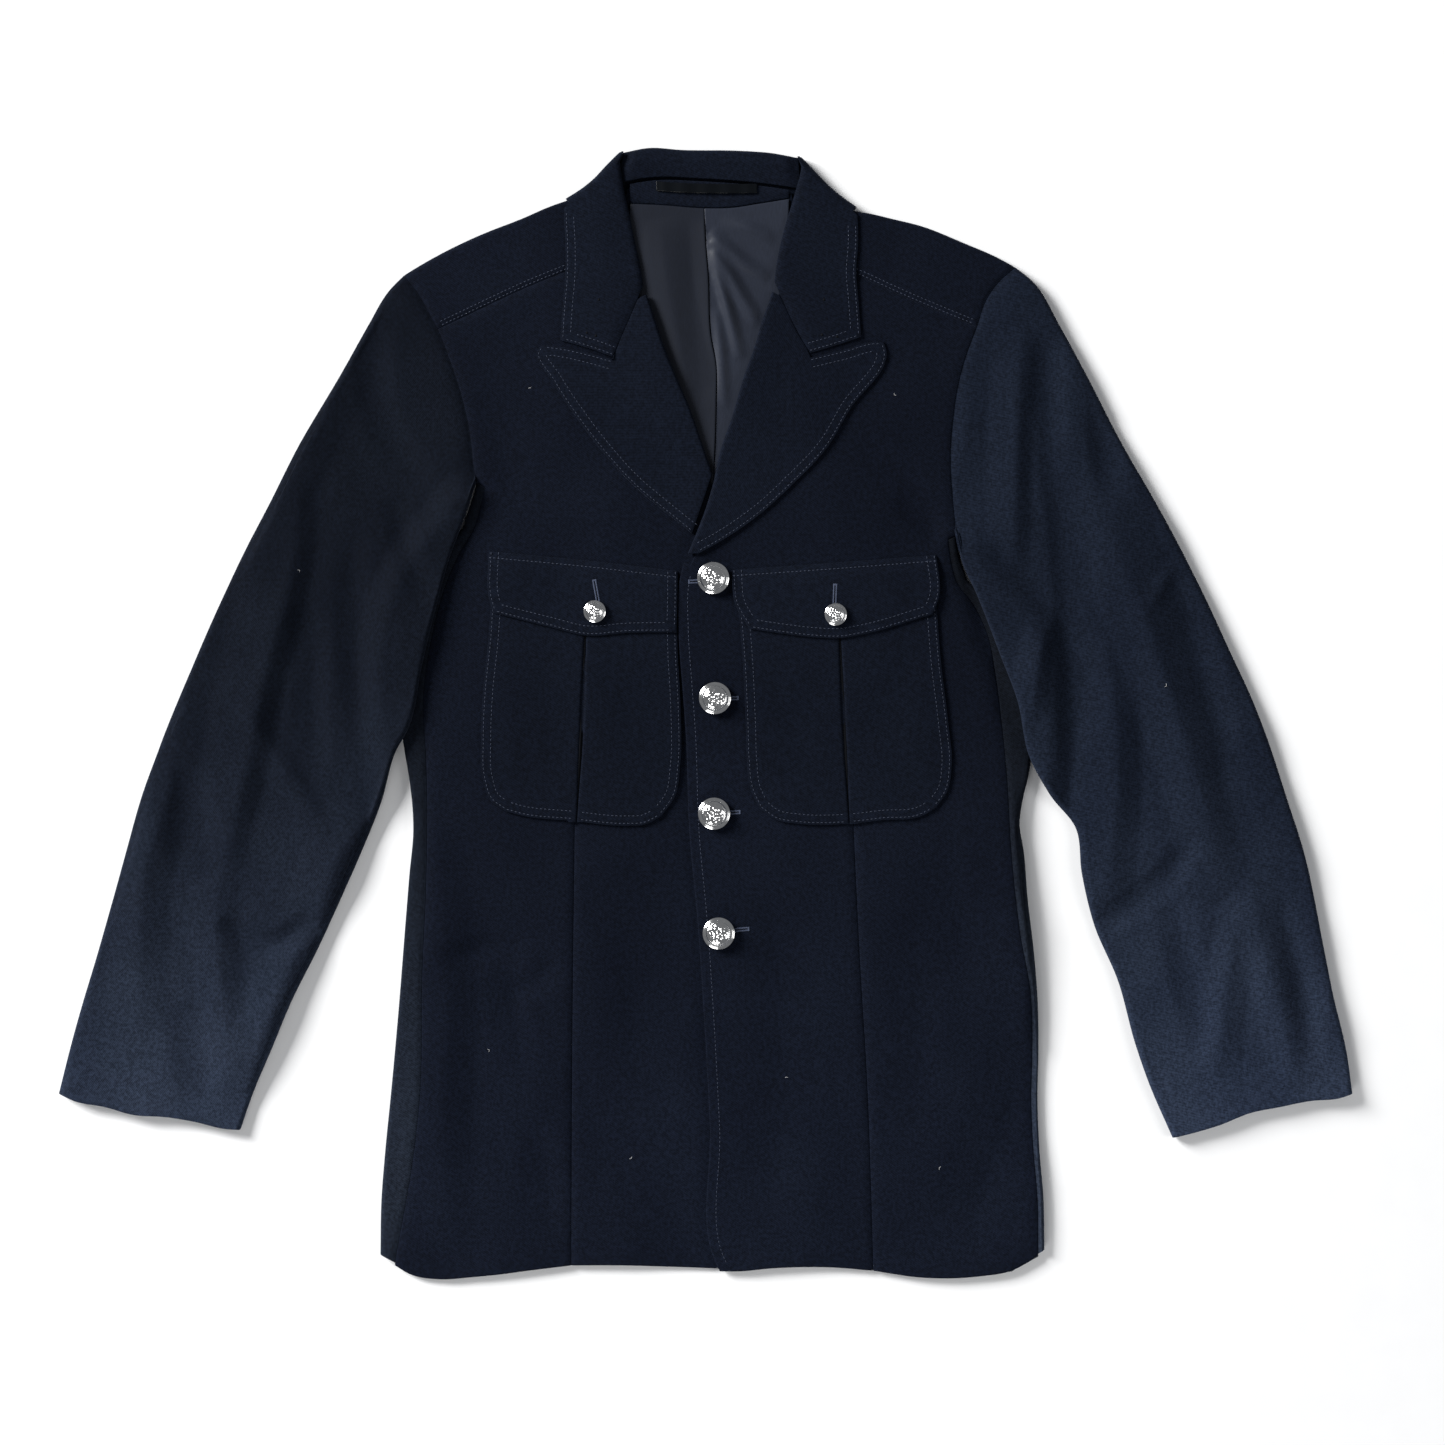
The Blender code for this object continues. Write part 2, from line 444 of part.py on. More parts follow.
def add_object(name, points, faces, kind):
    """A closed mesh object with its faces pointing out."""
    mesh = bpy.data.meshes.new(name)
    mesh.from_pydata([tuple(point) for point in points], [], faces)
    shape = bmesh.new()
    shape.from_mesh(mesh)
    bmesh.ops.recalc_face_normals(shape, faces=shape.faces)
    shape.to_mesh(mesh)
    shape.free()
    mesh.shade_smooth()
    mesh.set_sharp_from_angle(angle=math.radians(40))
    mesh.materials.append(own_material(name, kind))
    made = bpy.data.objects.new(name, mesh)
    bpy.context.scene.collection.objects.link(made)
    return made


def rim_faces(faces, offset):
    """Quads that join the open edges of a surface to its copy, whose points come offset later."""
    uses = {}
    for face in faces:
        for a, b in zip(face, face[1:] + face[:1]):
            uses[(a, b)] = True
    return [(b, a, a + offset, b + offset) for a, b in uses if (b, a) not in uses]


def closed_wall(name, outer, inner, faces, kind):
    """A solid between two copies of a surface."""
    count = len(outer)
    mirrored = [tuple(index + count for index in reversed(face)) for face in faces]
    return add_object(name, outer + inner, faces + mirrored + rim_faces(faces, count), kind)


def sheet(name, outline, top, thickness, kind, spacing=CLOTH_SPACING):
    """A flat piece of cloth inside a plan outline; top(x, y) is the height of its upper face."""
    low_x = min(point.x for point in outline)
    high_x = max(point.x for point in outline)
    low_y = min(point.y for point in outline)
    high_y = max(point.y for point in outline)
    row_height = spacing * math.sqrt(0.75)
    closed = outline + outline[:1]
    plan = list(outline)
    for row in range(int(math.floor(low_y / row_height)), int(high_y / row_height) + 1):
        shift = 0.5 * spacing if row % 2 else 0.0
        for column in range(int(math.floor(low_x / spacing)) - 1, int(high_x / spacing) + 1):
            point = Vector((column * spacing + shift, row * row_height))
            if is_inside(point, outline) and distance_to_line(point, closed) > 0.4 * spacing:
                plan.append(point)
    border = list(range(len(outline)))
    flat, _, triangles, _, _, _ = delaunay_2d_cdt(plan, [], [border], 1, 1e-7)
    faces = []
    for triangle in triangles:
        a, b, c = [flat[index] for index in triangle]
        if (b - a).cross(c - a) > 0:
            faces.append(tuple(triangle))
        else:
            faces.append(tuple(reversed(triangle)))
    upper = [(point.x, point.y, top(point.x, point.y)) for point in flat]
    lower = [(x, y, z - thickness) for x, y, z in upper]
    return closed_wall(name, upper, lower, faces, kind)


def surface_normals(points, faces):
    """Area-weighted unit normals at the points of a surface."""
    sums = [Vector((0, 0, 0)) for _ in points]
    for face in faces:
        corners = [points[index] for index in face]
        normal = (corners[2] - corners[0]).cross(corners[3] - corners[1])
        for index in face:
            sums[index] += normal
    return [total.normalized() for total in sums]


def wall(name, grid, thickness, kind, square_seams=False):
    """A cloth wall from a grid of points on its outer face, whose highest part faces up.

    With square seams the wall is cut upright at both ends of each row, where it meets its
    neighbours.
    """
    rows = len(grid)
    columns = len(grid[0])
    points = [Vector(point) for row in grid for point in row]
    faces = []
    for row in range(rows - 1):
        for column in range(columns - 1):
            corner = row * columns + column
            faces.append((corner, corner + 1, corner + columns + 1, corner + columns))
    normals = surface_normals(points, faces)
    top = max(range(len(points)), key=lambda index: points[index].z)
    if normals[top].z < 0:
        faces = [tuple(reversed(face)) for face in faces]
        normals = [-normal for normal in normals]
    if square_seams:
        for index in range(0, len(points), columns):
            for end in (index, index + columns - 1):
                normals[end] = Vector((0.0, 0.0, math.copysign(1.0, normals[end].z)))
    inner = [point - normal * thickness for point, normal in zip(points, normals)]
    return closed_wall(name, points, inner, faces, kind)


def lowered(grid, distance):
    """A grid of points moved straight down."""
    return [[(x, y, z - distance) for x, y, z in row] for row in grid]


def upright_wall(name, upper_grid, lower_grid, kind):
    """A cloth wall between two grids of points that lie over each other."""
    count = len(upper_grid[0])
    upper = [point for row in upper_grid for point in row]
    lower = [point for row in lower_grid for point in row]
    faces = []
    for row in range(len(upper_grid) - 1):
        for column in range(count - 1):
            corner = row * count + column
            faces.append((corner, corner + count, corner + count + 1, corner + 1))
    return closed_wall(name, upper, lower, faces, kind)


def patch(first, last, start, end, rows, columns, first_columns=None):
    """Plan points between four curves, at the given fractions of its rows and columns.

    first and last are the first and last rows; start and end join their ends. The first row
    may have fractions of its own, so that a corner in it falls on a point.
    """
    top = along(first, first_columns or columns)
    foot = along(last, columns)
    begin = along(start, rows)
    finish = along(end, rows)
    grid = []
    for row, s in enumerate(rows):
        line = []
        for column, t in enumerate(columns):
            corners = ((first[0] * (1 - t) + first[-1] * t) * (1 - s)
                       + (last[0] * (1 - t) + last[-1] * t) * s)
            line.append(top[column] * (1 - s) + foot[column] * s
                        + begin[row] * (1 - t) + finish[row] * t - corners)
        grid.append(line)
    return grid


def length_of(line):
    """The length of a line of points."""
    return sum((b - a).length for a, b in zip(line, line[1:]))


def even(count):
    """Fractions from 0 to 1 in equal steps."""
    return [index / count for index in range(count + 1)]


def fold_arc(edge, inward, high, low):
    """Points round a fold edge, from its upper layer to its lower one."""
    radius = 0.5 * (high - low)
    arc = []
    for step in range(FOLD_STEPS + 1):
        angle = math.pi * (0.5 - step / FOLD_STEPS)
        place = edge + inward * radius * (1.0 - math.cos(angle))
        arc.append((place.x, place.y, low + radius * (1.0 + math.sin(angle))))
    return arc


def collar_lift(x, y):
    """How far the layers under the neck are raised by the collar that lies below them."""
    along_back = ease((y - COLLAR_RAMP_START) / COLLAR_RAMP)
    across_back = ease((COLLAR_HALF_WIDTH - abs(x)) / COLLAR_SIDE_RAMP)
    return COLLAR_LIFT * along_back * across_back


def half_curves(side):
    """The plan curves of one half, smoothed."""
    table = HALVES[side]
    return {key: smooth_curve(points) for key, points in table.items() if isinstance(points, list)}


def lap_edge(curves_left):
    """The free front edge of the left front, from the hem to the neck, as one line."""
    return curves_left["edge"] + curves_left["roll"][1:]


def edge_x_at(line, y):
    """Where a line that rises in y crosses a height."""
    for a, b in zip(line, line[1:]):
        if min(a.y, b.y) <= y <= max(a.y, b.y) and abs(b.y - a.y) > 1e-9:
            return a.x + (b.x - a.x) * (y - a.y) / (b.y - a.y)
    return line[0].x if y < line[0].y else line[-1].x


def front_top(side, lap_line):
    """The height function of one front; the right front sinks where the left one laps over it."""
    creases = BODY_CREASES[side]

    def height(x, y):
        level = BODY_TOP - crease_depth(x, y, creases)
        if side == "right":
            past = x - edge_x_at(lap_line, y)
            level -= FRONT_LAP * ease((past + LAP_RAMP_START) / LAP_RAMP)
        return level
    return height


def build_front(side, curves, top):
    """A front panel, from the hem to the yoke seam, with the dart as a slit from the hem."""
    sign = -1.0 if side == "right" else 1.0
    dart = curves["dart"]
    dart_outer = shifted(dart, -0.5 * sign * GAP)
    dart_inner = shifted(dart, 0.5 * sign * GAP)
    hem_outer = curves["hem_outer"][:-1] + dart_outer[:1]
    hem_inner = dart_inner[:1] + curves["hem_inner"][1:]
    roll = shifted(curves["roll"], -sign * (LAPEL_TURN + GAP))
    yoke = trimmed(shifted(curves["yoke_seam"], sign * GAP), 2 * GAP)
    armhole = shifted(curves["armhole"], sign * GAP)
    armhole = [point for point in armhole if point.y < yoke[0].y - 0.001]
    seam = shifted(along(curves["side_seam"], even(SIDE_ROWS)), -sign * GAP)
    under_arm = [seam[0] + Vector((0.0, GAP)), armhole[0]]
    neck = [roll[-1], yoke[-1]]
    lines = [hem_outer, dart_outer, list(reversed(dart_inner)), hem_inner, curves["edge"], roll,
             neck, list(reversed(yoke)), list(reversed(armhole)), list(reversed(under_arm)), seam]
    sheet("front_" + side, joined(lines), top, CLOTH, "navy_cloth")


def turned_grid(plan, high, low, edge_columns, turn_widths):
    """Sections over a top layer, round the fold edge at the end of each row and back below it."""
    grid = []
    for row_number, row in enumerate(plan):
        edge = row[-1]
        inward = (row[-2] - edge).normalized()
        section = [(point.x, point.y, high(point.x, point.y)) for point in row[:edge_columns]]
        section += fold_arc(edge, inward, high(edge.x, edge.y), low(edge.x, edge.y))
        for share in TURN_SHARES:
            under = edge + inward * turn_widths[row_number] * share
            section.append((under.x, under.y, low(under.x, under.y)))
        grid.append(section)
    return grid


def build_side(side, curves):
    """A side panel that turns round the fold edge and lies under the body up to the back."""
    rows = even(SIDE_ROWS)
    seam = curves["side_seam"]
    fold = curves["fold_edge"]
    plan = patch([seam[0], fold[0]], [seam[-1], fold[-1]], seam, fold, rows, [0.0, 1.0])
    widths = [SIDE_TURN_AT_ARMHOLE
              + (SIDE_TURN - SIDE_TURN_AT_ARMHOLE) * ease(s / SIDE_TURN_GROWTH) for s in rows]
    grid = turned_grid(plan, lambda x, y: BODY_TOP, lambda x, y: 0.0, 1, widths)
    wall("side_" + side, grid, CLOTH, "navy_cloth", square_seams=True)
    return [Vector(section[-1][:2]) for section in grid]


def build_yoke(side, curves):
    """A shoulder piece from the yoke seam over the shoulder edge to the back."""
    sign = -1.0 if side == "right" else 1.0
    seam = trimmed(curves["yoke_seam"], 2 * GAP)
    edge = trimmed(curves["shoulder_edge"], 2 * GAP)
    armhole = shifted(curves["armhole"], sign * GAP)
    upper = [point for point in armhole if seam[0].y + 0.001 < point.y < edge[0].y - 0.001]
    first = [seam[0]] + upper + [edge[0]]
    plan = patch(first, [seam[-1], edge[-1]], seam, edge, even(YOKE_ROWS), YOKE_COLUMNS)
    widths = [YOKE_TURN for _ in plan]
    grid = turned_grid(plan, lambda x, y: BODY_TOP, collar_lift, len(YOKE_COLUMNS) - 1, widths)
    wall("yoke_" + side, grid, CLOTH, "navy_cloth", square_seams=True)
    return [Vector(section[-1][:2]) for section in grid]


def body_under_sleeve(curves, side):
    """The plan outline of the body's flank that the sleeve crosses."""
    sign = -1.0 if side == "right" else 1.0
    fold = trimmed(curves["fold_edge"], FLANK_START)
    inner_x = sign * FLANK_INNER_X
    return [Vector((inner_x, fold[0].y)), *fold, Vector((inner_x, fold[-1].y))]


def sleeve_rise(flank, ramp):
    """How high the sleeve's layers are carried by the flank of the body below them."""
    border = flank + flank[:1]

    def height(x, y):
        point = Vector((x, y))
        away = 0.0 if is_inside(point, flank) else distance_to_line(point, border)
        return (BODY_TOP + GAP) * (1.0 - ease((away - SLEEVE_PLATEAU) / ramp))
    return height


def build_sleeve(side, curves):
    """A two-piece sleeve: the upper piece turns under both fold edges to meet the under piece."""
    sign = -1.0 if side == "right" else 1.0
    rows = [(index / SLEEVE_ROWS) ** SLEEVE_ROW_POWER for index in range(SLEEVE_ROWS + 1)]
    inner = curves["sleeve_inner"]
    outer = curves["sleeve_outer"]
    armhole = [inner[0]] + shifted(curves["armhole"], -sign * GAP)[1:-1] + [outer[0]]
    flank = body_under_sleeve(curves, side)
    low = sleeve_rise(flank, SLEEVE_RAMP_BELOW)
    carried = sleeve_rise(flank, SLEEVE_RAMP_ABOVE)
    creases = SLEEVE_CREASES[side]

    def high(x, y):
        return carried(x, y) + SLEEVE_HEIGHT - crease_depth(x, y, creases)

    def at_height(points, height):
        return [(point.x, point.y, height(point.x, point.y)) for point in points]

    upper_grid = []
    under_grid = []
    for s, a, b in zip(rows, along(inner, rows), along(outer, rows)):
        width = (b - a).length
        start = SLEEVE_TURN_INNER / width
        stop = SLEEVE_TURN_OUTER / width
        slit = 0.5 * GAP / width
        middle = 1.0 - start - stop - 2 * slit

        def row_points(fractions):
            return patch(armhole, curves["cuff"], inner, outer, [s], fractions)[0]

        lip_in = row_points([(start - slit) * share for share in SLEEVE_LIP_IN])
        lip_out = row_points([1.0 - (stop - slit) * share for share in SLEEVE_LIP_OUT])
        top = row_points(SLEEVE_COLUMNS)
        under = row_points([start + slit + middle * share for share in SLEEVE_UNDER])
        edge_in, edge_out = row_points([0.0, 1.0])
        arc_in = fold_arc(edge_in, (top[0] - edge_in).normalized(), high(*edge_in), low(*edge_in))
        arc_out = fold_arc(edge_out, (top[-1] - edge_out).normalized(),
                           high(*edge_out), low(*edge_out))
        upper_grid.append(at_height(lip_in, low) + list(reversed(arc_in)) + at_height(top, high)
                          + arc_out + at_height(lip_out, low))
        under_grid.append(at_height(under, lambda x, y: low(x, y) + CLOTH))
    wall("sleeve_upper_" + side, upper_grid, CLOTH, "navy_cloth", square_seams=True)
    upright_wall("sleeve_under_" + side, under_grid, lowered(under_grid, CLOTH), "navy_cloth")


def build_back(halves, side_turns, yoke_turns):
    """The back panel, between what the side panels and the yokes turn under."""
    right = halves["right"]
    left = halves["left"]
    side_right = shifted(list(reversed(side_turns["right"])), -GAP)
    side_left = shifted(side_turns["left"], -GAP)
    yoke_right = shifted(yoke_turns["right"], -GAP)
    yoke_left = shifted(list(reversed(yoke_turns["left"])), -GAP)
    arm_right = [point for point in shifted(right["armhole"], -GAP)
                 if point.y < yoke_right[0].y - YOKE_CORNER]
    arm_left = [point for point in shifted(left["armhole"], GAP)
                if point.y < yoke_left[-1].y - YOKE_CORNER]
    hem = [side_left[-1], *smooth_curve(BACK_HEM), side_right[0]]
    lines = [hem, side_right, arm_right, yoke_right, smooth_curve(BACK_NECK), yoke_left,
             list(reversed(arm_left)), side_left]
    sheet("back", joined(lines), lambda x, y: CLOTH + collar_lift(x, y), CLOTH, "navy_cloth")


def build_lapel(side, curves, top, lap_line):
    """A lapel that lies on its front and rolls over at the roll line into the front's plane."""
    sign = -1.0 if side == "right" else 1.0
    roll = [point for point in curves["roll"]
            if LAPEL_FOOT_Y[side] < point.y < curves["gorge"][0].y - LAPEL_TIP]
    edge = [point for point in curves["lapel_edge"] if point.y > LAPEL_FOOT_Y["left"]]
    if side == "right":
        edge = [point for point in edge
                if point.x < edge_x_at(lap_line, point.y) - LAPEL_CLEARANCE]
    foot = [edge[-1], roll[0]]
    head = list(reversed(curves["lapel_top"]))
    gorge = shifted(list(reversed(curves["gorge"])), sign * GAP)
    gorge = [point for point in gorge[1:] if point.y < roll[-1].y - YOKE_CORNER] + [roll[-1]]
    corner = length_of(head) / (length_of(head) + length_of([head[-1]] + gorge))
    columns = [0.0, 0.5 * corner, corner, 0.67 * corner + 0.33, 0.33 * corner + 0.67, 1.0]
    plan = patch(head + gorge, foot, edge, list(reversed(roll)), even(LAPEL_ROWS), columns)
    grid = []
    for row in plan:
        fold = row[-1]
        inward = (row[-2] - fold).normalized()
        high = [top(point.x, point.y) + LAPEL_RISE for point in row]
        low = top(fold.x, fold.y) - CLOTH
        section = [(point.x, point.y, z) for point, z in zip(row[:-1], high)]
        section += fold_arc(fold, inward, high[-1], low)
        under = fold + inward * LAPEL_TURN
        section.append((under.x, under.y, low))
        grid.append(section)
    wall("lapel_" + side, grid, COLLAR_CLOTH, "navy_cloth")


def build_pocket(side, top):
    """A patch pocket with its centre pleat as a narrow groove."""
    table = HALVES[side]["pocket"]
    curves = {key: smooth_curve(points) for key, points in table.items()}
    pleat = list(reversed(curves["pleat"]))
    plan = patch(curves["top"], curves["bottom"], curves["left"], curves["right"],
                 even(POCKET_ROWS), POCKET_COLUMNS)
    upper = []
    lower = []
    for row in plan:
        middle = len(row) // 2
        y = row[middle].y
        for away in (-1, 0, 1):
            row[middle + away] = Vector((edge_x_at(pleat, y) + away * PLEAT_HALF_WIDTH, y))
        bases = [top(point.x, point.y) + GAP for point in row]
        walls = [CLOTH - (PLEAT_DEPTH if column == middle else 0.0) for column in range(len(row))]
        upper.append([(point.x, point.y, z + t) for point, z, t in zip(row, bases, walls)])
        lower.append([(point.x, point.y, z) for point, z in zip(row, bases)])
    upright_wall("pocket_" + side, upper, lower, "navy_cloth")


def build_flap(side, top):
    """A pointed pocket flap: sewn to the front at its top and lying on the pocket below."""
    table = HALVES[side]["flap"]
    curves = {key: smooth_curve(points) for key, points in table.items() if key != "button"}
    plan = patch(curves["top"], curves["bottom"], curves["left"], curves["right"],
                 FLAP_ROWS, even(FLAP_COLUMNS))
    grid = []
    for row, s in zip(plan, FLAP_ROWS):
        climb = (CLOTH + GAP) * (1.0 + ease(s / FLAP_CLIMB))
        grid.append([(point.x, point.y, top(point.x, point.y) + climb) for point in row])
    upright_wall("flap_" + side, grid, lowered(grid, CLOTH), "navy_cloth")
    x, y = table["button"]
    build_button("flap_button_" + side, x, y, top(x, y) + 2 * (CLOTH + GAP) + GAP,
                 FLAP_BUTTON_RADIUS, (0.0, 0.0))


def build_button(name, x, y, z, radius, tilt):
    """A domed metal button on its shank."""
    scale = radius / BUTTON_RADIUS
    points = []
    for share, height in BUTTON_PROFILE:
        for side in range(BUTTON_SIDES):
            angle = 2.0 * math.pi * side / BUTTON_SIDES
            points.append((share * radius * math.cos(angle), share * radius * math.sin(angle),
                           height * scale))
    faces = [tuple(reversed(range(BUTTON_SIDES)))]
    for ring in range(len(BUTTON_PROFILE) - 1):
        for side in range(BUTTON_SIDES):
            after = (side + 1) % BUTTON_SIDES
            low = ring * BUTTON_SIDES
            faces.append((low + side, low + after, low + BUTTON_SIDES + after,
                          low + BUTTON_SIDES + side))
    points.append((0.0, 0.0, BUTTON_CROWN * scale))
    last = (len(BUTTON_PROFILE) - 1) * BUTTON_SIDES
    for side in range(BUTTON_SIDES):
        faces.append((last + side, last + (side + 1) % BUTTON_SIDES, len(points) - 1))
    made = add_object(name, points, faces, "chrome")
    made.location = (x, y, z + BUTTON_CLEARANCE)
    made.rotation_euler = (math.radians(tilt[0]), math.radians(tilt[1]), 0.0)


def build_collar_leaf(halves):
    """The falling collar: a ribbon over one front, round both neck folds and under the back."""
    leaf_top = BODY_TOP + LAPEL_RISE
    heights = [leaf_top - ROLL_DROP * share for share in ROLL_ROUND]

    def front_rows(side):
        curves = halves[side]
        foot = curves["gorge"] + curves["leaf_lower"][1:]
        corner = length_of(curves["gorge"]) / length_of(foot)
        usual = COLLAR_COLUMNS[LEAF_CORNER_COLUMN]
        foot_columns = [t * corner / usual if t <= usual
                        else corner + (t - usual) * (1.0 - corner) / (1.0 - usual)
                        for t in COLLAR_COLUMNS]
        plan = patch(foot, curves["leaf_fold"], curves["leaf_roll"], curves["leaf_outer"],
                     even(9), COLLAR_COLUMNS, foot_columns)
        rows = [[(point.x, point.y, height) for point, height in zip(row, heights)]
                for row in plan[:-1]]
        return rows, plan[-1]

    def fold_rows(row):
        way = (row[-1] - row[0]).normalized()
        inward = Vector((way.y, -way.x)) if way.x > 0 else Vector((-way.y, way.x))
        arcs = [fold_arc(point, inward, height, 0.0) for point, height in zip(row, heights)]
        return [[arc[step] for arc in arcs] for step in range(FOLD_STEPS + 1)]

    right_rows, right_fold = front_rows("right")
    left_rows, left_fold = front_rows("left")
    ways = even(10)
    under = patch(halves["right"]["leaf_fold"], halves["left"]["leaf_fold"],
                  smooth_curve(NECK_TOP), smooth_curve(COLLAR_FALL), ways, COLLAR_COLUMNS)
    under_rows = []
    for row, s in zip(under[1:-1], ways[1:-1]):
        rise = NECK_EDGE_RISE * ease(min(s, 1.0 - s) / 0.2)
        under_rows.append([(point.x, point.y, rise * share)
                           for point, share in zip(row, ROLL_ROUND)])
    sections = (right_rows + fold_rows(right_fold) + under_rows
                + list(reversed(fold_rows(left_fold))) + list(reversed(left_rows)))
    return wall("collar_leaf", sections, COLLAR_CLOTH, "navy_cloth")


def build_collar_stand():
    """The inside band at the back of the neck, from the neck seam up to the roll."""
    rows = [0.0, 0.3, 0.6, 0.87, 0.945, 0.985, 1.0]
    heights = [0.0054, 0.0068, 0.0078, 0.0074, 0.0068, 0.0059, 0.0049]
    foot = smooth_curve(NECK_SEAM)
    head = smooth_curve(STAND_TOP)
    plan = patch(foot, head, [foot[0], head[0]], [foot[-1], head[-1]], rows, even(10))
    grid = [[(point.x, point.y, height) for point in row] for row, height in zip(plan, heights)]
    return wall("collar_stand", grid, COLLAR_CLOTH, "navy_cloth")


def build_neck():
    """The lining halves, the back neck facing and the hanger loop."""
    base = CLOTH + GAP

    def lining_top(x, y):
        return base + LINING_CLOTH + collar_lift(x, y)

    pleat = smooth_curve(LINING_PLEAT)
    head = smooth_curve(LINING_TOP)
    right_head = [point for point in head if point.x < pleat[0].x - 0.0005]
    left_head = [point for point in head if point.x > pleat[0].x + 0.0005]
    right_edge = smooth_curve(LINING_RIGHT_EDGE)
    left_edge = smooth_curve(LINING_LEFT_EDGE)
    right = [right_edge, shifted(list(reversed(pleat)), 0.5 * GAP), list(reversed(right_head))]
    left = [shifted(pleat, 0.5 * GAP), list(reversed(left_edge)), list(reversed(left_head))]
    sheet("lining_right", joined(right), lining_top, LINING_CLOTH, "lining_satin", TRIM_SPACING)
    sheet("lining_left", joined(left), lining_top, LINING_CLOTH, "lining_satin", TRIM_SPACING)
    foot = smooth_curve(FACING_FOOT)
    upper = smooth_curve(FACING_TOP)
    facing = [foot, [foot[-1], upper[-1]], list(reversed(upper)), [upper[0], foot[0]]]
    sheet("neck_facing", joined(facing), lining_top, LINING_CLOTH, "navy_cloth", TRIM_SPACING)
    low = smooth_curve(LOOP_FOOT)
    high = smooth_curve(LOOP_TOP)
    loop = [low, [low[-1], high[-1]], list(reversed(high)), [high[0], low[0]]]
    sheet("hanger_loop", joined(loop), lambda x, y: lining_top(x, y) + GAP + TAPE, TAPE,
          "black_tape", TRIM_SPACING)


def centre_over_origin():
    """Move every piece so that the tunic's outline is centred over the origin."""
    bpy.context.view_layer.update()
    places = [item.matrix_world @ vertex.co for item in bpy.data.objects
              for vertex in item.data.vertices]
    middle_x = 0.5 * (min(place.x for place in places) + max(place.x for place in places))
    middle_y = 0.5 * (min(place.y for place in places) + max(place.y for place in places))
    for item in bpy.data.objects:
        item.location.x -= middle_x
        item.location.y -= middle_y
    print("centred by", middle_x, middle_y)


def build_tunic():
    """Every piece of the tunic."""
    clear_scene()
    halves = {side: half_curves(side) for side in HALVES}
    lap_line = lap_edge(halves["left"])
    side_turns = {}
    yoke_turns = {}
    for side, curves in halves.items():
        top = front_top(side, lap_line)
        build_front(side, curves, top)
        side_turns[side] = build_side(side, curves)
        yoke_turns[side] = build_yoke(side, curves)
        build_sleeve(side, curves)
        build_lapel(side, curves, top, lap_line)
        build_pocket(side, top)
        build_flap(side, top)
    build_back(halves, side_turns, yoke_turns)
    build_collar_leaf(halves)
    build_collar_stand()
    build_neck()
    left_top = front_top("left", lap_line)
    for number, (x, y, tilt_x, tilt_y) in enumerate(FRONT_BUTTONS, 1):
        build_button("front_button_%d" % number, x, y, left_top(x, y) + GAP, BUTTON_RADIUS,
                     (tilt_x, tilt_y))
    centre_over_origin()


build_tunic()
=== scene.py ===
"""The looks of a navy police tunic that lies flat on its back with its front up.

The file is laid out as an add-on: its panel lists the sizes, the colours and one operator for each
group of pieces. +X is the wearer's left, +Y runs from the hem to the collar and +Z is up, in metres.
Every cloth piece is a thin shell on the form of its solid, drawn from the same plan curves.
"""
import math

import bpy
import numpy as np
from mathutils import Euler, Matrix, Vector, kdtree, noise
from mathutils.geometry import delaunay_2d_cdt


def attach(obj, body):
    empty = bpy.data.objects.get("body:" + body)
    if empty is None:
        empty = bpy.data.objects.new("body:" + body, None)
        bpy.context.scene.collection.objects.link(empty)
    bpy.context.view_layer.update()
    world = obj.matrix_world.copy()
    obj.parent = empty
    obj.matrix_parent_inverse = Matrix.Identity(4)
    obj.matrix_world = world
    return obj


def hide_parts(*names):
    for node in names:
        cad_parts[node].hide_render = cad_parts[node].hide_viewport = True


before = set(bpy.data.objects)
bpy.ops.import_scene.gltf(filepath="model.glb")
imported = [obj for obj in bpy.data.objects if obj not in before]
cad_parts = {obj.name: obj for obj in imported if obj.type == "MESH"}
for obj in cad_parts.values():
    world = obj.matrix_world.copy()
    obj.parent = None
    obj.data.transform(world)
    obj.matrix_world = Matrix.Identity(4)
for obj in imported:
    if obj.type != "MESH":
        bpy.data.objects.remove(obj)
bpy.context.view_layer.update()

bl_info = {
    "name": "Laid Police Tunic",
    "version": (1, 0, 0),
    "blender": (4, 5, 0),
    "location": "3D View > Sidebar > Tunic",
    "description": "Builds the cloth, sewing, buttons and stage of a navy tunic laid flat",
    "category": "Add Mesh"}

# The middle of the plan curves, which lies over the origin
PLAN_MIDDLE = (0.0001, -0.00078)

# Walls, clearances and heights of the layers, as in the solids
GAP = 0.0003
SEAM_GAP = 0.00003
CLOTH = 0.0016
COLLAR_CLOTH = 0.0015
LINING_CLOTH = 0.0011
TAPE = 0.001
BODY_TOP = 0.007
SLEEVE_HEIGHT = 0.0068
FRONT_LAP = CLOTH + GAP
COLLAR_LIFT = COLLAR_CLOTH + GAP
LAPEL_RISE = COLLAR_CLOTH + GAP
ROLL_DROP = 0.002
NECK_EDGE_RISE = 0.0032
BUTTON_RADIUS = 0.012
FLAP_BUTTON_RADIUS = 0.0083

# Widths of the parts that turn under the fold edges
SIDE_TURN = 0.03
SIDE_TURN_AT_ARMHOLE = 0.0085
SIDE_TURN_GROWTH = 0.16
YOKE_TURN = 0.025
SLEEVE_TURN_INNER = 0.064
SLEEVE_TURN_OUTER = 0.02
LAPEL_TURN = 0.005
LAPEL_TIP = 0.0065

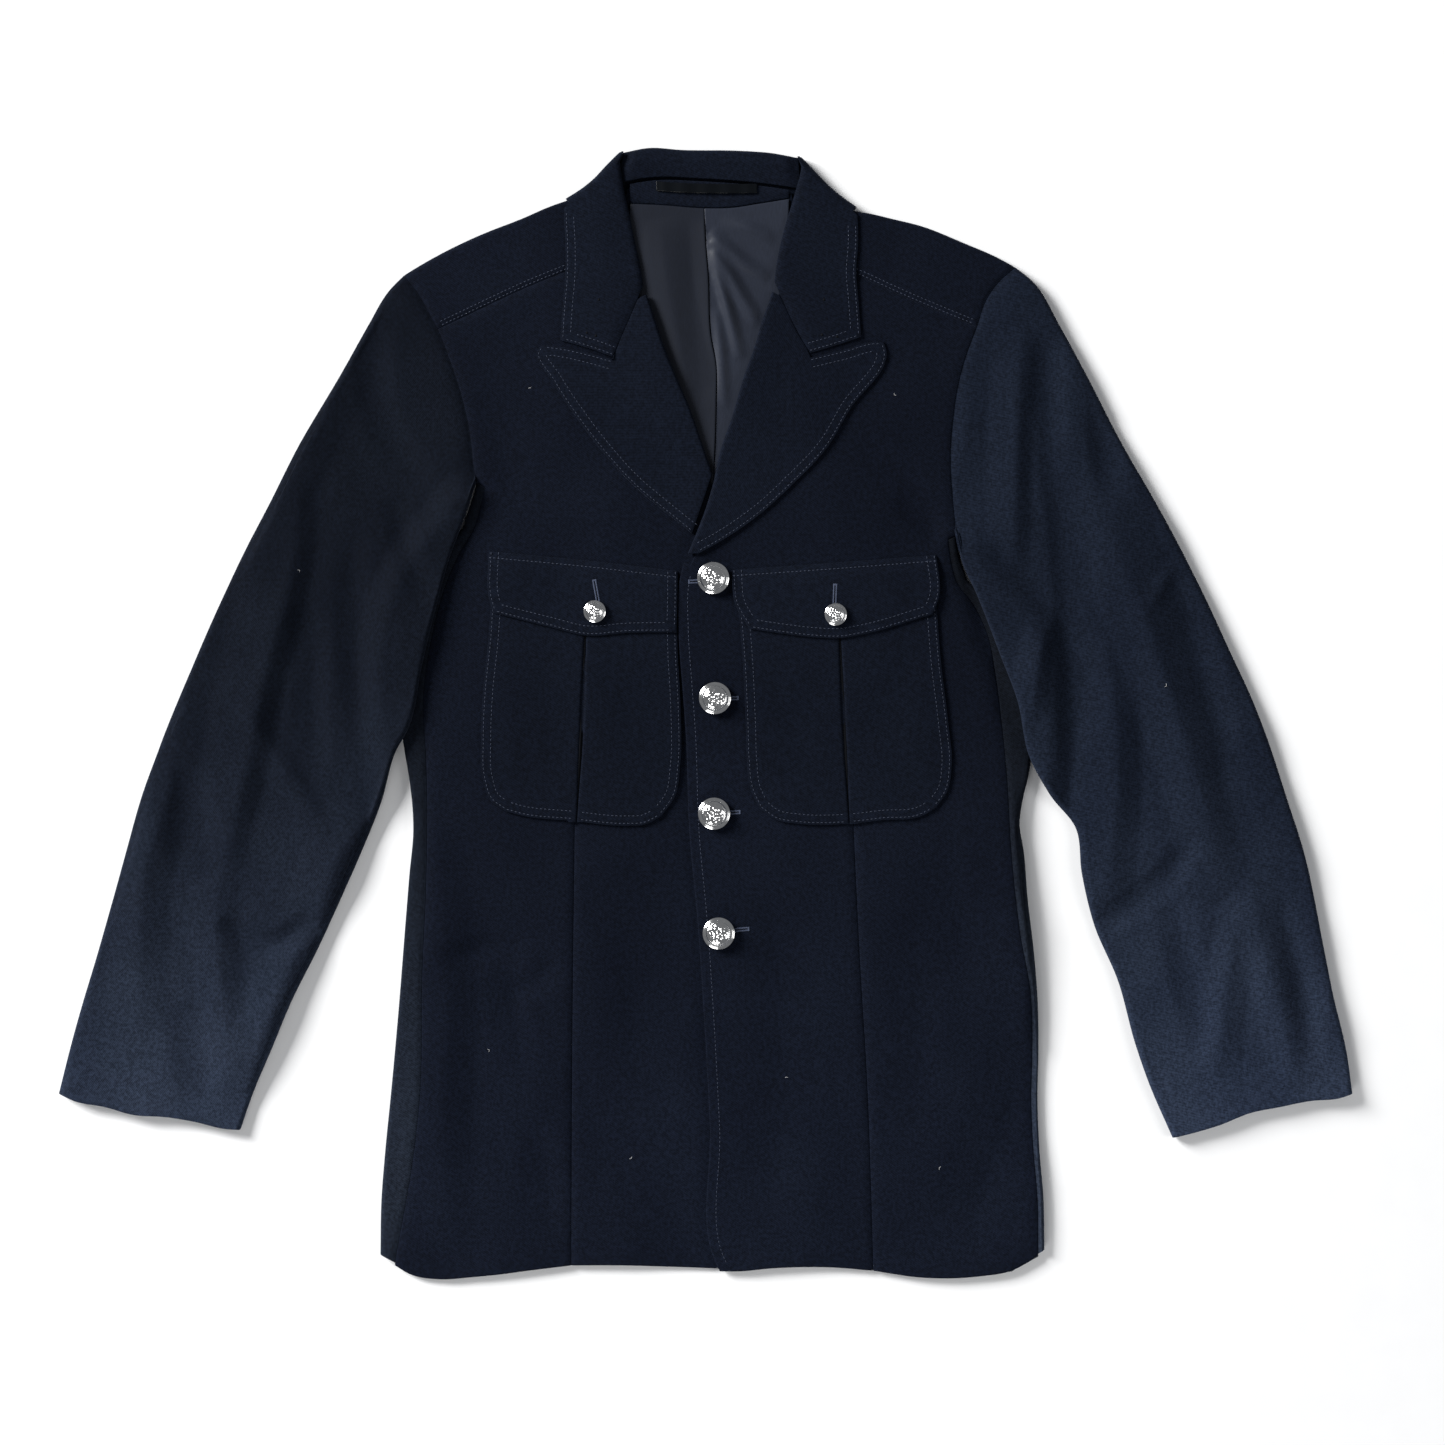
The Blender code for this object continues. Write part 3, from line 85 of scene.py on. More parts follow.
# How the right front sinks below the left one, and how the back rises over the collar's fall
LAP_RAMP_START = 0.075
LAP_RAMP = 0.07
COLLAR_RAMP_START = 0.27
COLLAR_RAMP = 0.082
COLLAR_HALF_WIDTH = 0.188
COLLAR_SIDE_RAMP = 0.07

# How the sleeve climbs over the body's flank
FLANK_START = 0.024
FLANK_INNER_X = 0.15
SLEEVE_PLATEAU = 0.009
SLEEVE_RAMP_BELOW = 0.021
SLEEVE_RAMP_ABOVE = 0.025

# Where the body's fold edge passes below the sleeve
UNDERARM_FOOT_Y = {"right": 0.14, "left": 0.101}

# Where the lapels start above the lap, and clearances at corners
LAPEL_FOOT_Y = {"right": 0.177, "left": 0.117}
LAPEL_CLEARANCE = 0.0012
YOKE_CORNER = 0.002
FLAP_CLIMB = 0.25

# The fine relief of the cloth
SEAM_WIDTH = 0.002
SEAM_RING = 0.0014
HEM_FALL = 0.0022
HEM_FALL_WIDTH = 0.012
LAPEL_PUFF = 0.0012
LAPEL_PUFF_WIDTH = 0.022
LEAF_BOW = 0.0007
LINING_EDGE_RAMP = 0.014
UNDERSIDE_RELIEF = 0.0008
CREASE_SOFTNESS = 0.08
LAP_DIP = 0.0008
LAP_DIP_WIDTH = 0.005
BODY_RUMPLE = (0.05, 0.0009)
SLEEVE_RUMPLE = (0.042, 0.0014)
SLEEVE_SWELL = 0.001
SLEEVE_DIP = 0.0038

# Spacings along the pieces
CURVE_STEP = 0.002
EDGE_STEP = 0.003
ROW_STEP = 0.004
FOLD_STEPS = 10
LEAST_EDGE = 0.0002
MARK_STEP = 0.0006
COLLAR_CORNER_FRACTION = 0.6
LEAF_TO_FOLD = 0.93
STAND_END_LEVEL = 0.0047
STAND_END_SHARE = 0.085
TURNING_HALF_WIDTH = 0.006
TURNING_CLOTH = 0.0007

# Plan curves of the wearer's right half (x, y)
RIGHT = {
    "armhole": [
        (-0.1698, 0.1698), (-0.1713, 0.1802), (-0.1735, 0.1987), (-0.1772, 0.2213), (-0.1832, 0.2438),
        (-0.1908, 0.2653), (-0.1985, 0.2838), (-0.205, 0.296), (-0.2128, 0.3104), (-0.2235, 0.3238)],
    "fold_edge": [
        (-0.1685, 0.168), (-0.172, 0.1555), (-0.177, 0.141), (-0.19, 0.126), (-0.205, 0.108),
        (-0.218, 0.084), (-0.226, 0.052), (-0.228, 0.018), (-0.226, -0.008), (-0.2231, -0.0278),
        (-0.2187, -0.0551), (-0.2165, -0.087), (-0.2194, -0.1203), (-0.2224, -0.1573), (-0.2268, -0.2128),
        (-0.2335, -0.2868), (-0.2372, -0.3238), (-0.2401, -0.3608), (-0.2409, -0.4015)],
    "side_seam": [
        (-0.1635, 0.167), (-0.1665, 0.154), (-0.1715, 0.137), (-0.183, 0.117), (-0.1935, 0.092),
        (-0.202, 0.06), (-0.2075, 0.03), (-0.2093, 0.0093), (-0.207, -0.0322), (-0.2065, -0.1158),
        (-0.2098, -0.1994), (-0.2113, -0.2831), (-0.215, -0.3193), (-0.2301, -0.4075)],
    "hem_outer": [
        (-0.2301, -0.4095), (-0.2187, -0.4163), (-0.1965, -0.42), (-0.1743, -0.4185), (-0.1521, -0.4163),
        (-0.1299, -0.4133), (-0.0995, -0.4097)],
    "hem_inner": [(-0.0995, -0.4097), (-0.0633, -0.4096), (-0.0189, -0.4111), (0.028, -0.413)],
    "dart": [(-0.0995, -0.4097), (-0.0988, -0.2542), (-0.0968, -0.074)],
    "edge": [(0.028, -0.413), (0.027, -0.1), (0.0265, 0.1), (0.022, 0.128), (0.013, 0.153), (0.003, 0.172)],
    "roll": [
        (0.0063, 0.1735), (-0.0026, 0.1994), (-0.0107, 0.2231), (-0.0218, 0.249), (-0.0311, 0.272),
        (-0.037, 0.2897), (-0.0429, 0.3075), (-0.0463, 0.315)],
    "yoke_seam": [
        (-0.1985, 0.2838), (-0.158, 0.303), (-0.1373, 0.3127), (-0.1066, 0.3255), (-0.0603, 0.3423)],
    "shoulder_edge": [
        (-0.2235, 0.3238), (-0.2128, 0.3304), (-0.1913, 0.3423), (-0.1661, 0.3541), (-0.1358, 0.3659),
        (-0.1121, 0.376), (-0.1032, 0.379), (-0.0855, 0.385), (-0.067, 0.3896)],
    "lapel_top": [(-0.0688, 0.2611), (-0.0899, 0.2668), (-0.1077, 0.2705), (-0.121, 0.272)],
    "lapel_edge": [
        (-0.121, 0.272), (-0.1243, 0.2683), (-0.1129, 0.2446), (-0.0958, 0.2187), (-0.0759, 0.1928),
        (-0.0544, 0.1691), (-0.0307, 0.1491), (-0.01, 0.1325)],
    "gorge": [(-0.0463, 0.3156), (-0.0547, 0.2956), (-0.064, 0.2742), (-0.0685, 0.2631)],
    "leaf_lower": [(-0.0685, 0.2631), (-0.088, 0.27), (-0.1073, 0.2753)],
    "leaf_outer": [
        (-0.1073, 0.2753), (-0.1055, 0.3016), (-0.1036, 0.3252), (-0.1036, 0.3482), (-0.1045, 0.37),
        (-0.1036, 0.3806)],
    "leaf_fold": [
        (-0.064, 0.4148), (-0.0746, 0.4042), (-0.0822, 0.396), (-0.0914, 0.3884), (-0.1036, 0.3806)],
    "leaf_roll": [
        (-0.0463, 0.3156), (-0.0485, 0.3312), (-0.0522, 0.3482), (-0.0559, 0.3674), (-0.0588, 0.3793),
        (-0.0618, 0.3955), (-0.064, 0.4148)],
    "sleeve_inner": [
        (-0.1698, 0.1698), (-0.1735, 0.1565), (-0.1787, 0.1417), (-0.1883, 0.1166), (-0.1987, 0.0788),
        (-0.2093, 0.0352), (-0.22, -0.013), (-0.2283, -0.0278), (-0.2394, -0.0648), (-0.2542, -0.1018),
        (-0.2705, -0.1388), (-0.2875, -0.1758), (-0.306, -0.2128), (-0.3215, -0.2498), (-0.337, -0.2868),
        (-0.3445, -0.309)],
    "sleeve_outer": [
        (-0.2235, 0.3238), (-0.2342, 0.3127), (-0.2498, 0.2868), (-0.2705, 0.2498), (-0.303, 0.1943),
        (-0.3215, 0.1573), (-0.3408, 0.1203), (-0.3585, 0.0833), (-0.3748, 0.0463), (-0.3904, 0.0093),
        (-0.4052, -0.0278), (-0.4185, -0.0648), (-0.4288, -0.1018), (-0.4496, -0.1758), (-0.4607, -0.2128),
        (-0.471, -0.2498), (-0.479, -0.282)],
    "cuff": [
        (-0.3445, -0.309), (-0.3556, -0.3082), (-0.3778, -0.303), (-0.4, -0.2993), (-0.4222, -0.2979),
        (-0.4444, -0.2919), (-0.4666, -0.2875), (-0.479, -0.282)],
    "pocket": {
        "top": [(-0.158, 0.096), (-0.0212, 0.083)],
        "left": [
            (-0.158, 0.096), (-0.1605, 0.054), (-0.1645, 0.015), (-0.166, -0.02), (-0.165, -0.048),
            (-0.159, -0.065), (-0.148, -0.073)],
        "bottom": [
            (-0.148, -0.073), (-0.135, -0.0765), (-0.1005, -0.08), (-0.0574, -0.0837), (-0.0455, -0.083),
            (-0.033, -0.077)],
        "right": [
            (-0.0212, 0.083), (-0.0206, 0.045), (-0.0185, 0.006), (-0.0188, -0.04), (-0.0225, -0.062),
            (-0.033, -0.077)],
        "pleat": [(-0.088, 0.09), (-0.0909, 0.0033), (-0.0952, -0.0804)]},
    "flap": {
        "top": [(-0.1602, 0.1191), (-0.089, 0.1125), (-0.0206, 0.1046)],
        "left": [(-0.1602, 0.1191), (-0.16, 0.085), (-0.1567, 0.0736)],
        "bottom": [
            (-0.1567, 0.0736), (-0.1158, 0.0633), (-0.088, 0.0568), (-0.0574, 0.0588), (-0.0214, 0.0593)],
        "right": [(-0.0206, 0.1046), (-0.0208, 0.08), (-0.0214, 0.0593)],
        "button": (-0.0818, 0.0746)}}

# Plan curves of the wearer's left half (x, y)
LEFT = {
    "armhole": [
        (0.1861, 0.1306), (0.1835, 0.1536), (0.1817, 0.1758), (0.1817, 0.1987), (0.1839, 0.2213),
        (0.1876, 0.2438), (0.1935, 0.2653), (0.201, 0.2853), (0.2073, 0.304), (0.2165, 0.3178),
        (0.2298, 0.3297)],
    "fold_edge": [
        (0.1848, 0.129), (0.1876, 0.113), (0.1925, 0.1), (0.206, 0.088), (0.222, 0.072), (0.234, 0.048),
        (0.2405, 0.018), (0.242, -0.012), (0.2394, -0.0463), (0.235, -0.0648), (0.2327, -0.0833),
        (0.2357, -0.1018), (0.2387, -0.1388), (0.2431, -0.1758), (0.2461, -0.2128), (0.2468, -0.2498),
        (0.2461, -0.2868), (0.2475, -0.3238), (0.2505, -0.3608), (0.2512, -0.3978)],
    "side_seam": [
        (0.1798, 0.128), (0.1822, 0.111), (0.1865, 0.096), (0.198, 0.081), (0.209, 0.058), (0.215, 0.028),
        (0.2191, -0.0048), (0.2231, -0.0463), (0.2261, -0.1018), (0.2327, -0.1632), (0.2405, -0.207),
        (0.2422, -0.2498), (0.2415, -0.2868), (0.243, -0.3238), (0.246, -0.3608), (0.2466, -0.401)],
    "hem_outer": [
        (0.2466, -0.403), (0.2253, -0.414), (0.2031, -0.4177), (0.1809, -0.4192), (0.1587, -0.4185),
        (0.1243, -0.4137)],
    "hem_inner": [
        (0.1243, -0.4137), (0.0921, -0.4111), (0.0477, -0.4118), (0.0255, -0.414), (0.0107, -0.414)],
    "dart": [(0.1243, -0.4137), (0.1195, -0.272), (0.1143, -0.1846), (0.1092, -0.078)],
    "edge": [
        (0.0107, -0.414), (0.0078, -0.4081), (0.0033, -0.3067), (-0.0014, -0.2194), (-0.0063, -0.1491),
        (-0.0115, -0.0944), (-0.0148, -0.0115), (-0.017, 0.0181), (-0.0199, 0.0618), (-0.0192, 0.0973),
        (-0.016, 0.111)],
    "roll": [
        (-0.016, 0.111), (-0.0088, 0.1277), (-0.0004, 0.1491), (0.0056, 0.1691), (0.0107, 0.1928),
        (0.0196, 0.2187), (0.0278, 0.2468), (0.0374, 0.2742), (0.0418, 0.2897), (0.0477, 0.306),
        (0.0512, 0.3185)],
    "yoke_seam": [(0.201, 0.2853), (0.1436, 0.3093), (0.1139, 0.323), (0.0662, 0.3423)],
    "shoulder_edge": [
        (0.2298, 0.3297), (0.2179, 0.3363), (0.1906, 0.3482), (0.161, 0.36), (0.1373, 0.3659),
        (0.1195, 0.37), (0.1121, 0.3711), (0.0944, 0.378), (0.0773, 0.383)],
    "lapel_top": [(0.0773, 0.2623), (0.1021, 0.2683), (0.1254, 0.2744), (0.1316, 0.2742)],
    "lapel_edge": [
        (0.1316, 0.2742), (0.1333, 0.2698), (0.1062, 0.2231), (0.091, 0.1972), (0.0648, 0.1691),
        (0.0433, 0.1491), (0.013, 0.1277), (-0.01, 0.115)],
    "gorge": [(0.051, 0.3189), (0.0618, 0.2942), (0.0714, 0.2753), (0.0773, 0.266)],
    "leaf_lower": [(0.0773, 0.266), (0.097, 0.2718), (0.1151, 0.2779)],
    "leaf_outer": [
        (0.1151, 0.2779), (0.1129, 0.3075), (0.1114, 0.3249), (0.1129, 0.3482), (0.1121, 0.3744)],
    "leaf_fold": [(0.0714, 0.4111), (0.0819, 0.4001), (0.0926, 0.3892), (0.1033, 0.3806), (0.1121, 0.3744)],
    "leaf_roll": [
        (0.051, 0.3189), (0.0529, 0.3334), (0.0559, 0.3482), (0.0596, 0.3626), (0.0633, 0.3744),
        (0.067, 0.3874), (0.0703, 0.3992), (0.0714, 0.4111)],
    "sleeve_inner": [
        (0.1861, 0.1306), (0.1891, 0.1129), (0.2002, 0.0877), (0.2172, 0.044), (0.2305, 0.0085),
        (0.2394, -0.0329), (0.2549, -0.0611), (0.2742, -0.0855), (0.2786, -0.1188), (0.2882, -0.158),
        (0.3053, -0.198), (0.3186, -0.2461), (0.3275, -0.272), (0.346, -0.3149)],
    "sleeve_outer": [
        (0.2298, 0.3297), (0.2431, 0.3186), (0.2623, 0.2868), (0.2823, 0.2498), (0.3112, 0.1943),
        (0.3326, 0.1573), (0.3526, 0.1203), (0.3711, 0.0833), (0.3881, 0.0463), (0.4052, 0.0093),
        (0.4192, -0.0278), (0.4311, -0.0648), (0.4429, -0.1018), (0.4584, -0.1758), (0.4658, -0.2128),
        (0.4747, -0.2498), (0.4792, -0.282)],
    "cuff": [
        (0.346, -0.3149), (0.3585, -0.3119), (0.3807, -0.3053), (0.4029, -0.2964), (0.4251, -0.2919),
        (0.4473, -0.2875), (0.4695, -0.2853), (0.4792, -0.282)],
    "pocket": {
        "top": [(0.0235, 0.083), (0.17, 0.093)],
        "left": [
            (0.0235, 0.083), (0.0255, 0.065), (0.0299, -0.01), (0.0307, -0.035), (0.0334, -0.0566),
            (0.04, -0.071)],
        "bottom": [
            (0.04, -0.071), (0.0525, -0.0796), (0.067, -0.0821), (0.1092, -0.0821), (0.1306, -0.0796),
            (0.1587, -0.077), (0.17, -0.071)],
        "right": [
            (0.17, 0.093), (0.1743, 0.0359), (0.1795, -0.007), (0.1821, -0.0396), (0.179, -0.058),
            (0.17, -0.071)],
        "pleat": [(0.0979, 0.09), (0.1028, -0.0137), (0.1064, -0.0803)]},
    "flap": {
        "top": [(0.0193, 0.1055), (0.098, 0.111), (0.1708, 0.1166)],
        "left": [(0.0193, 0.1055), (0.0221, 0.08), (0.0327, 0.0618)],
        "bottom": [
            (0.0327, 0.0618), (0.0525, 0.0588), (0.081, 0.0554), (0.0993, 0.0548), (0.1163, 0.0576),
            (0.168, 0.0725)],
        "right": [(0.1708, 0.1166), (0.1728, 0.0855), (0.168, 0.0725)],
        "button": (0.0962, 0.0724)}}

HALVES = {"right": RIGHT, "left": LEFT}

# Plan curves of the hidden hem and neck edge of the back panel
BACK_HEM = [(0.15, -0.411), (0.0, -0.408), (-0.15, -0.411)]
BACK_NECK = [
    (-0.058, 0.388), (-0.04, 0.393), (-0.004, 0.3925), (0.0196, 0.391), (0.0433, 0.3888), (0.064, 0.384)]

# Plan curves at the back of the neck, from the wearer's right to the left
NECK_TOP = [
    (-0.064, 0.4148), (-0.041, 0.4185), (-0.0189, 0.417), (0.0255, 0.4163), (0.0477, 0.4148),
    (0.0714, 0.4111)]
NECK_SEAM = [
    (-0.0655, 0.392), (-0.041, 0.3963), (-0.004, 0.3955), (0.0196, 0.394), (0.0433, 0.3918),
    (0.0708, 0.388)]
COLLAR_FALL = [
    (-0.1032, 0.3815), (-0.08, 0.374), (-0.045, 0.3695), (0.0, 0.368), (0.05, 0.3685), (0.085, 0.3698),
    (0.1121, 0.3744)]
STAND_TOP = [
    (-0.0614, 0.4143), (-0.041, 0.4183), (-0.0189, 0.4168), (0.0255, 0.4161), (0.0477, 0.4146),
    (0.0689, 0.4107)]
FACING_TOP = [
    (-0.056, 0.3915), (-0.04, 0.394), (-0.004, 0.3935), (0.0196, 0.392), (0.0433, 0.3898), (0.062, 0.387)]
FACING_FOOT = [
    (-0.056, 0.3775), (-0.0314, 0.3763), (-0.0018, 0.3741), (0.0196, 0.3744), (0.0396, 0.3774),
    (0.062, 0.381)]
LINING_TOP = [(x, y - 2 * GAP) for x, y in FACING_FOOT]
LINING_RIGHT_EDGE = [
    (-0.056, 0.3769), (-0.056, 0.314), (-0.045, 0.29), (-0.03, 0.249), (-0.019, 0.223), (-0.011, 0.199),
    (0.0005, 0.166)]
LINING_LEFT_EDGE = [
    (0.062, 0.3804), (0.059, 0.319), (0.05, 0.29), (0.036, 0.247), (0.028, 0.219), (0.019, 0.193),
    (0.011, 0.166)]
LINING_PLEAT = [
    (-0.001, 0.3735), (0.0001, 0.3482), (0.0019, 0.3252), (0.0041, 0.2779), (0.0078, 0.2579),
    (0.0078, 0.23), (0.006, 0.166)]
LOOP_TOP = [(-0.0366, 0.3933), (-0.015, 0.3918), (0.012, 0.3912), (0.0381, 0.3915)]
LOOP_FOOT = [(-0.0366, 0.3862), (-0.015, 0.3848), (0.012, 0.3842), (0.0381, 0.3845)]

# Large buttons: x, y, tilt about X and tilt about Y in degrees
FRONT_BUTTONS = [(0.0059, 0.0995, 2.0, -3.0), (0.007, 0.0107, 1.0, 1.0),
                 (0.0063, -0.0748, -1.0, 1.0), (0.0098, -0.1632, 1.0, -1.0)]

# The button's back and its dome: fraction of the radius, height over the cloth
BUTTON_BACK = [(0.3, 0.0), (0.3, 0.0022), (0.9, 0.00255), (0.975, 0.0028), (1.0, 0.0033),
               (0.995, 0.0038)]
BUTTON_DOME = [(0.0, 0.0084), (0.25, 0.0082), (0.5, 0.0075), (0.72, 0.0062), (0.88, 0.0045), (0.97, 0.0041)]
BUTTON_BOSS = 0.00055
BUTTON_POINTS = 120
BUTTON_RINGS = 54

# Folds: points along the crest or valley, half width to the left and to the right of its way, height
BODY_FOLDS = {
    "right": [
        ([(-0.202, -0.074), (-0.194, -0.163), (-0.191, -0.208), (-0.195, -0.324), (-0.191, -0.398)],
         0.021, 0.033, 0.0026), ([(-0.198, -0.183), (-0.172, -0.178), (-0.151, -0.168)],
         0.012, 0.017, -0.0015),
        ([(-0.148, -0.213), (-0.13, -0.202), (-0.109, -0.183)], 0.012, 0.015, -0.0013),
        ([(-0.145, -0.163), (-0.143, -0.215), (-0.134, -0.266)], 0.013, 0.018, -0.0012),
        ([(-0.125, -0.297), (-0.117, -0.34), (-0.114, -0.385)], 0.015, 0.021, -0.0012),
        ([(-0.06, -0.12), (-0.052, -0.235), (-0.06, -0.345)], 0.033, 0.027, -0.0009),
        ([(-0.17, 0.235), (-0.15, 0.19), (-0.142, 0.15)], 0.021, 0.018, -0.0009)],
    "left": [
        ([(0.144, 0.158), (0.174, 0.126)], 0.011, 0.012, -0.0013),
        ([(0.16, 0.155), (0.176, 0.128)], 0.009, 0.009, -0.0008),
        ([(0.1866, 0.1225), (0.1975, 0.0868), (0.211, 0.0451), (0.2205, 0.015), (0.229, -0.016)],
         0.0075, 0.012, -0.0021), ([(0.095, 0.208), (0.14, 0.178), (0.18, 0.139)], 0.018, 0.021, -0.0011),
        ([(0.226, -0.05), (0.229, -0.11), (0.238, -0.19), (0.236, -0.245)], 0.01, 0.042, 0.0036),
         ([(0.247, -0.244), (0.228, -0.29), (0.212, -0.338), (0.196, -0.402)], 0.032, 0.034, -0.003),
         ([(0.05, -0.14), (0.058, -0.25), (0.052, -0.36)], 0.03, 0.024, -0.0009),
        ([(0.15, -0.15), (0.16, -0.23), (0.15, -0.33)], 0.018, 0.024, -0.001)]}
SLEEVE_FOLDS = {
    "right": [
        ([(-0.242, 0.292), (-0.244, 0.238), (-0.224, 0.19), (-0.204, 0.17)], 0.014, 0.015, -0.0026),
        ([(-0.232, 0.159), (-0.22, 0.119), (-0.204, 0.083)], 0.012, 0.012, -0.002),
        ([(-0.385, 0.03), (-0.393, -0.035), (-0.402, -0.075), (-0.414, -0.111), (-0.418, -0.162),
         (-0.418, -0.235)], 0.02, 0.022, 0.004),
        ([(-0.398, -0.018), (-0.379, -0.075), (-0.363, -0.127)], 0.018, 0.026, -0.0036),
        ([(-0.297, 0.185), (-0.307, 0.099), (-0.329, 0.012), (-0.341, -0.051), (-0.361, -0.125)],
         0.014, 0.034, 0.0044), ([(-0.363, -0.118), (-0.359, -0.19), (-0.348, -0.276)],
         0.016, 0.02, 0.0034),
        ([(-0.291, 0.083), (-0.289, -0.051)], 0.012, 0.016, -0.0022),
        ([(-0.26, 0.135), (-0.26, 0.067), (-0.256, 0.02), (-0.25, -0.02)], 0.012, 0.014, -0.002),
        ([(-0.345, 0.004), (-0.307, -0.047), (-0.28, -0.095)], 0.01, 0.014, 0.002),
        ([(-0.25, -0.071), (-0.272, -0.111), (-0.29, -0.158)], 0.013, 0.026, 0.0036),
        ([(-0.29, -0.15), (-0.319, -0.218), (-0.343, -0.285)], 0.013, 0.022, 0.0036),
        ([(-0.357, -0.152), (-0.341, -0.166), (-0.319, -0.172), (-0.303, -0.162), (-0.288, -0.152)],
         0.01, 0.013, -0.0036), ([(-0.384, -0.215), (-0.376, -0.257), (-0.372, -0.292)],
         0.016, 0.018, -0.003),
        ([(-0.262, 0.262), (-0.312, 0.16), (-0.352, 0.07)], 0.02, 0.018, 0.0022)],
    "left": [
        ([(0.293, 0.17), (0.307, 0.113), (0.323, 0.073), (0.337, 0.03), (0.351, -0.01), (0.367, -0.058),
         (0.379, -0.105), (0.392, -0.132)], 0.03, 0.026, 0.0056),
        ([(0.297, 0.055), (0.303, -0.01), (0.303, -0.074), (0.296, -0.14)], 0.018, 0.032, 0.0042),
        ([(0.252, 0.285), (0.254, 0.204), (0.262, 0.144), (0.268, 0.077), (0.27, 0.006), (0.272, -0.08)],
         0.026, 0.01, -0.0026),
        ([(0.268, 0.28), (0.27, 0.18)], 0.016, 0.012, 0.002),
        ([(0.235, 0.285), (0.231, 0.224), (0.229, 0.164), (0.228, 0.105)], 0.011, 0.02, 0.0036),
        ([(0.292, 0.225), (0.3, 0.155)], 0.016, 0.012, -0.0026),
        ([(0.256, 0.072), (0.246, 0.045), (0.242, -0.005)], 0.01, 0.015, 0.0028),
        ([(0.281, -0.161), (0.307, -0.15), (0.321, -0.14), (0.341, -0.123), (0.362, -0.092)],
         0.012, 0.011, -0.004), ([(0.345, -0.128), (0.363, -0.212), (0.374, -0.25)],
         0.012, 0.015, -0.0032),
        ([(0.399, -0.13), (0.386, -0.192), (0.376, -0.27)], 0.018, 0.014, 0.0032),
        ([(0.403, -0.12), (0.412, -0.177), (0.426, -0.228), (0.438, -0.275)], 0.02, 0.016, 0.0038),
        ([(0.34, 0.115), (0.363, 0.045), (0.377, -0.01), (0.386, -0.058), (0.403, -0.118)],
         0.016, 0.026, -0.0032), ([(0.349, 0.112), (0.325, 0.074)], 0.008, 0.008, 0.0016),
        ([(0.424, -0.14), (0.442, -0.2), (0.448, -0.265)], 0.012, 0.014, -0.0028)]}
LINING_FOLDS = {
    "right": [
        ([(-0.034, 0.366), (-0.026, 0.305), (-0.012, 0.238)], 0.018, 0.021, 0.0016),
        ([(-0.012, 0.372), (-0.009, 0.3), (-0.002, 0.225)], 0.009, 0.011, -0.0005)],
    "left": [
        ([(0.003, 0.356), (0.026, 0.334), (0.047, 0.322)], 0.007, 0.006, 0.0024),
        ([(0.003, 0.35), (0.024, 0.312), (0.04, 0.287)], 0.007, 0.006, 0.0027),
        ([(0.004, 0.342), (0.016, 0.3), (0.026, 0.262)], 0.006, 0.005, 0.0025),
        ([(0.012, 0.368), (0.034, 0.358), (0.052, 0.35)], 0.007, 0.007, 0.0016),
        ([(0.008, 0.3), (0.012, 0.262), (0.014, 0.225)], 0.005, 0.005, 0.0014)]}
UNDERSIDE_FOLDS = [
    ([(-0.12, 0.19), (-0.06, 0.05), (-0.08, -0.11)], 0.027, 0.021, 0.9),
    ([(0.11, 0.17), (0.07, 0.02), (0.095, -0.14)], 0.021, 0.03, 1.0),
    ([(-0.02, -0.1), (-0.005, -0.22), (-0.025, -0.33)], 0.024, 0.018, 0.8),
    ([(-0.34, 0.06), (-0.38, -0.1), (-0.4, -0.24)], 0.021, 0.018, 0.8),
    ([(0.33, 0.07), (0.372, -0.09), (0.405, -0.235)], 0.018, 0.022, 0.9)]

# Pocket pleats: fraction of the way down, half width of the opening
PLEAT_OPENING = [(0.0, 0.0006), (0.15, 0.0009), (0.45, 0.0017), (0.7, 0.0014), (0.92, 0.0005),
                 (1.0, 0.0004)]
PLEAT_DEPTH = 0.0012
PLEAT_REACH = 0.006

# The pleat's rounded fold edges: distance beyond the opening, share of the depth
PLEAT_FOLDS = [(0.0032, 0.0), (0.0014, 0.0), (0.0004, 0.12), (0.0, 0.45)]

# Where rows of topstitching run, and how close they come to a pleat
FRONT_ROW_ENDS = (-0.4085, 0.104)
YOKE_ROWS = (0.0014, 0.0042)
FLAP_TOP_ROW = 0.0045
PLEAT_CLEARANCE = 0.0022

# Worked buttonholes and small holes
BAR_ROW = 0.00095
BAR_PITCH = 0.00042
BAR_RADIUS = 0.00021
SLIT_HALF_WIDTH = 0.00032
SLIT_LIFT = 0.00006
SLIT_THICKNESS = 0.00012
PIN_HOLE_RADIUS = 0.001

# Front buttonholes: x and y of the middle, length and angle in degrees; flap ones stand upright
BUTTONHOLES = [(0.0, 0.0972, 0.024, 2.0), (0.013, 0.0107, 0.022, 0.0),
               (0.014, -0.0741, 0.023, 2.0), (0.02, -0.161, 0.024, 4.0)]
FLAP_BUTTONHOLES = {"right": (-0.0802, 0.0868, 0.022, 100.0), "left": (0.0956, 0.0845, 0.02, 88.0)}
PIN_HOLES = {"right": [(-0.0788, 0.3052), (-0.0877, 0.2808), (-0.0811, 0.2786)],
             "left": [(0.0877, 0.3052), (0.0862, 0.2794), (0.0973, 0.2779)]}

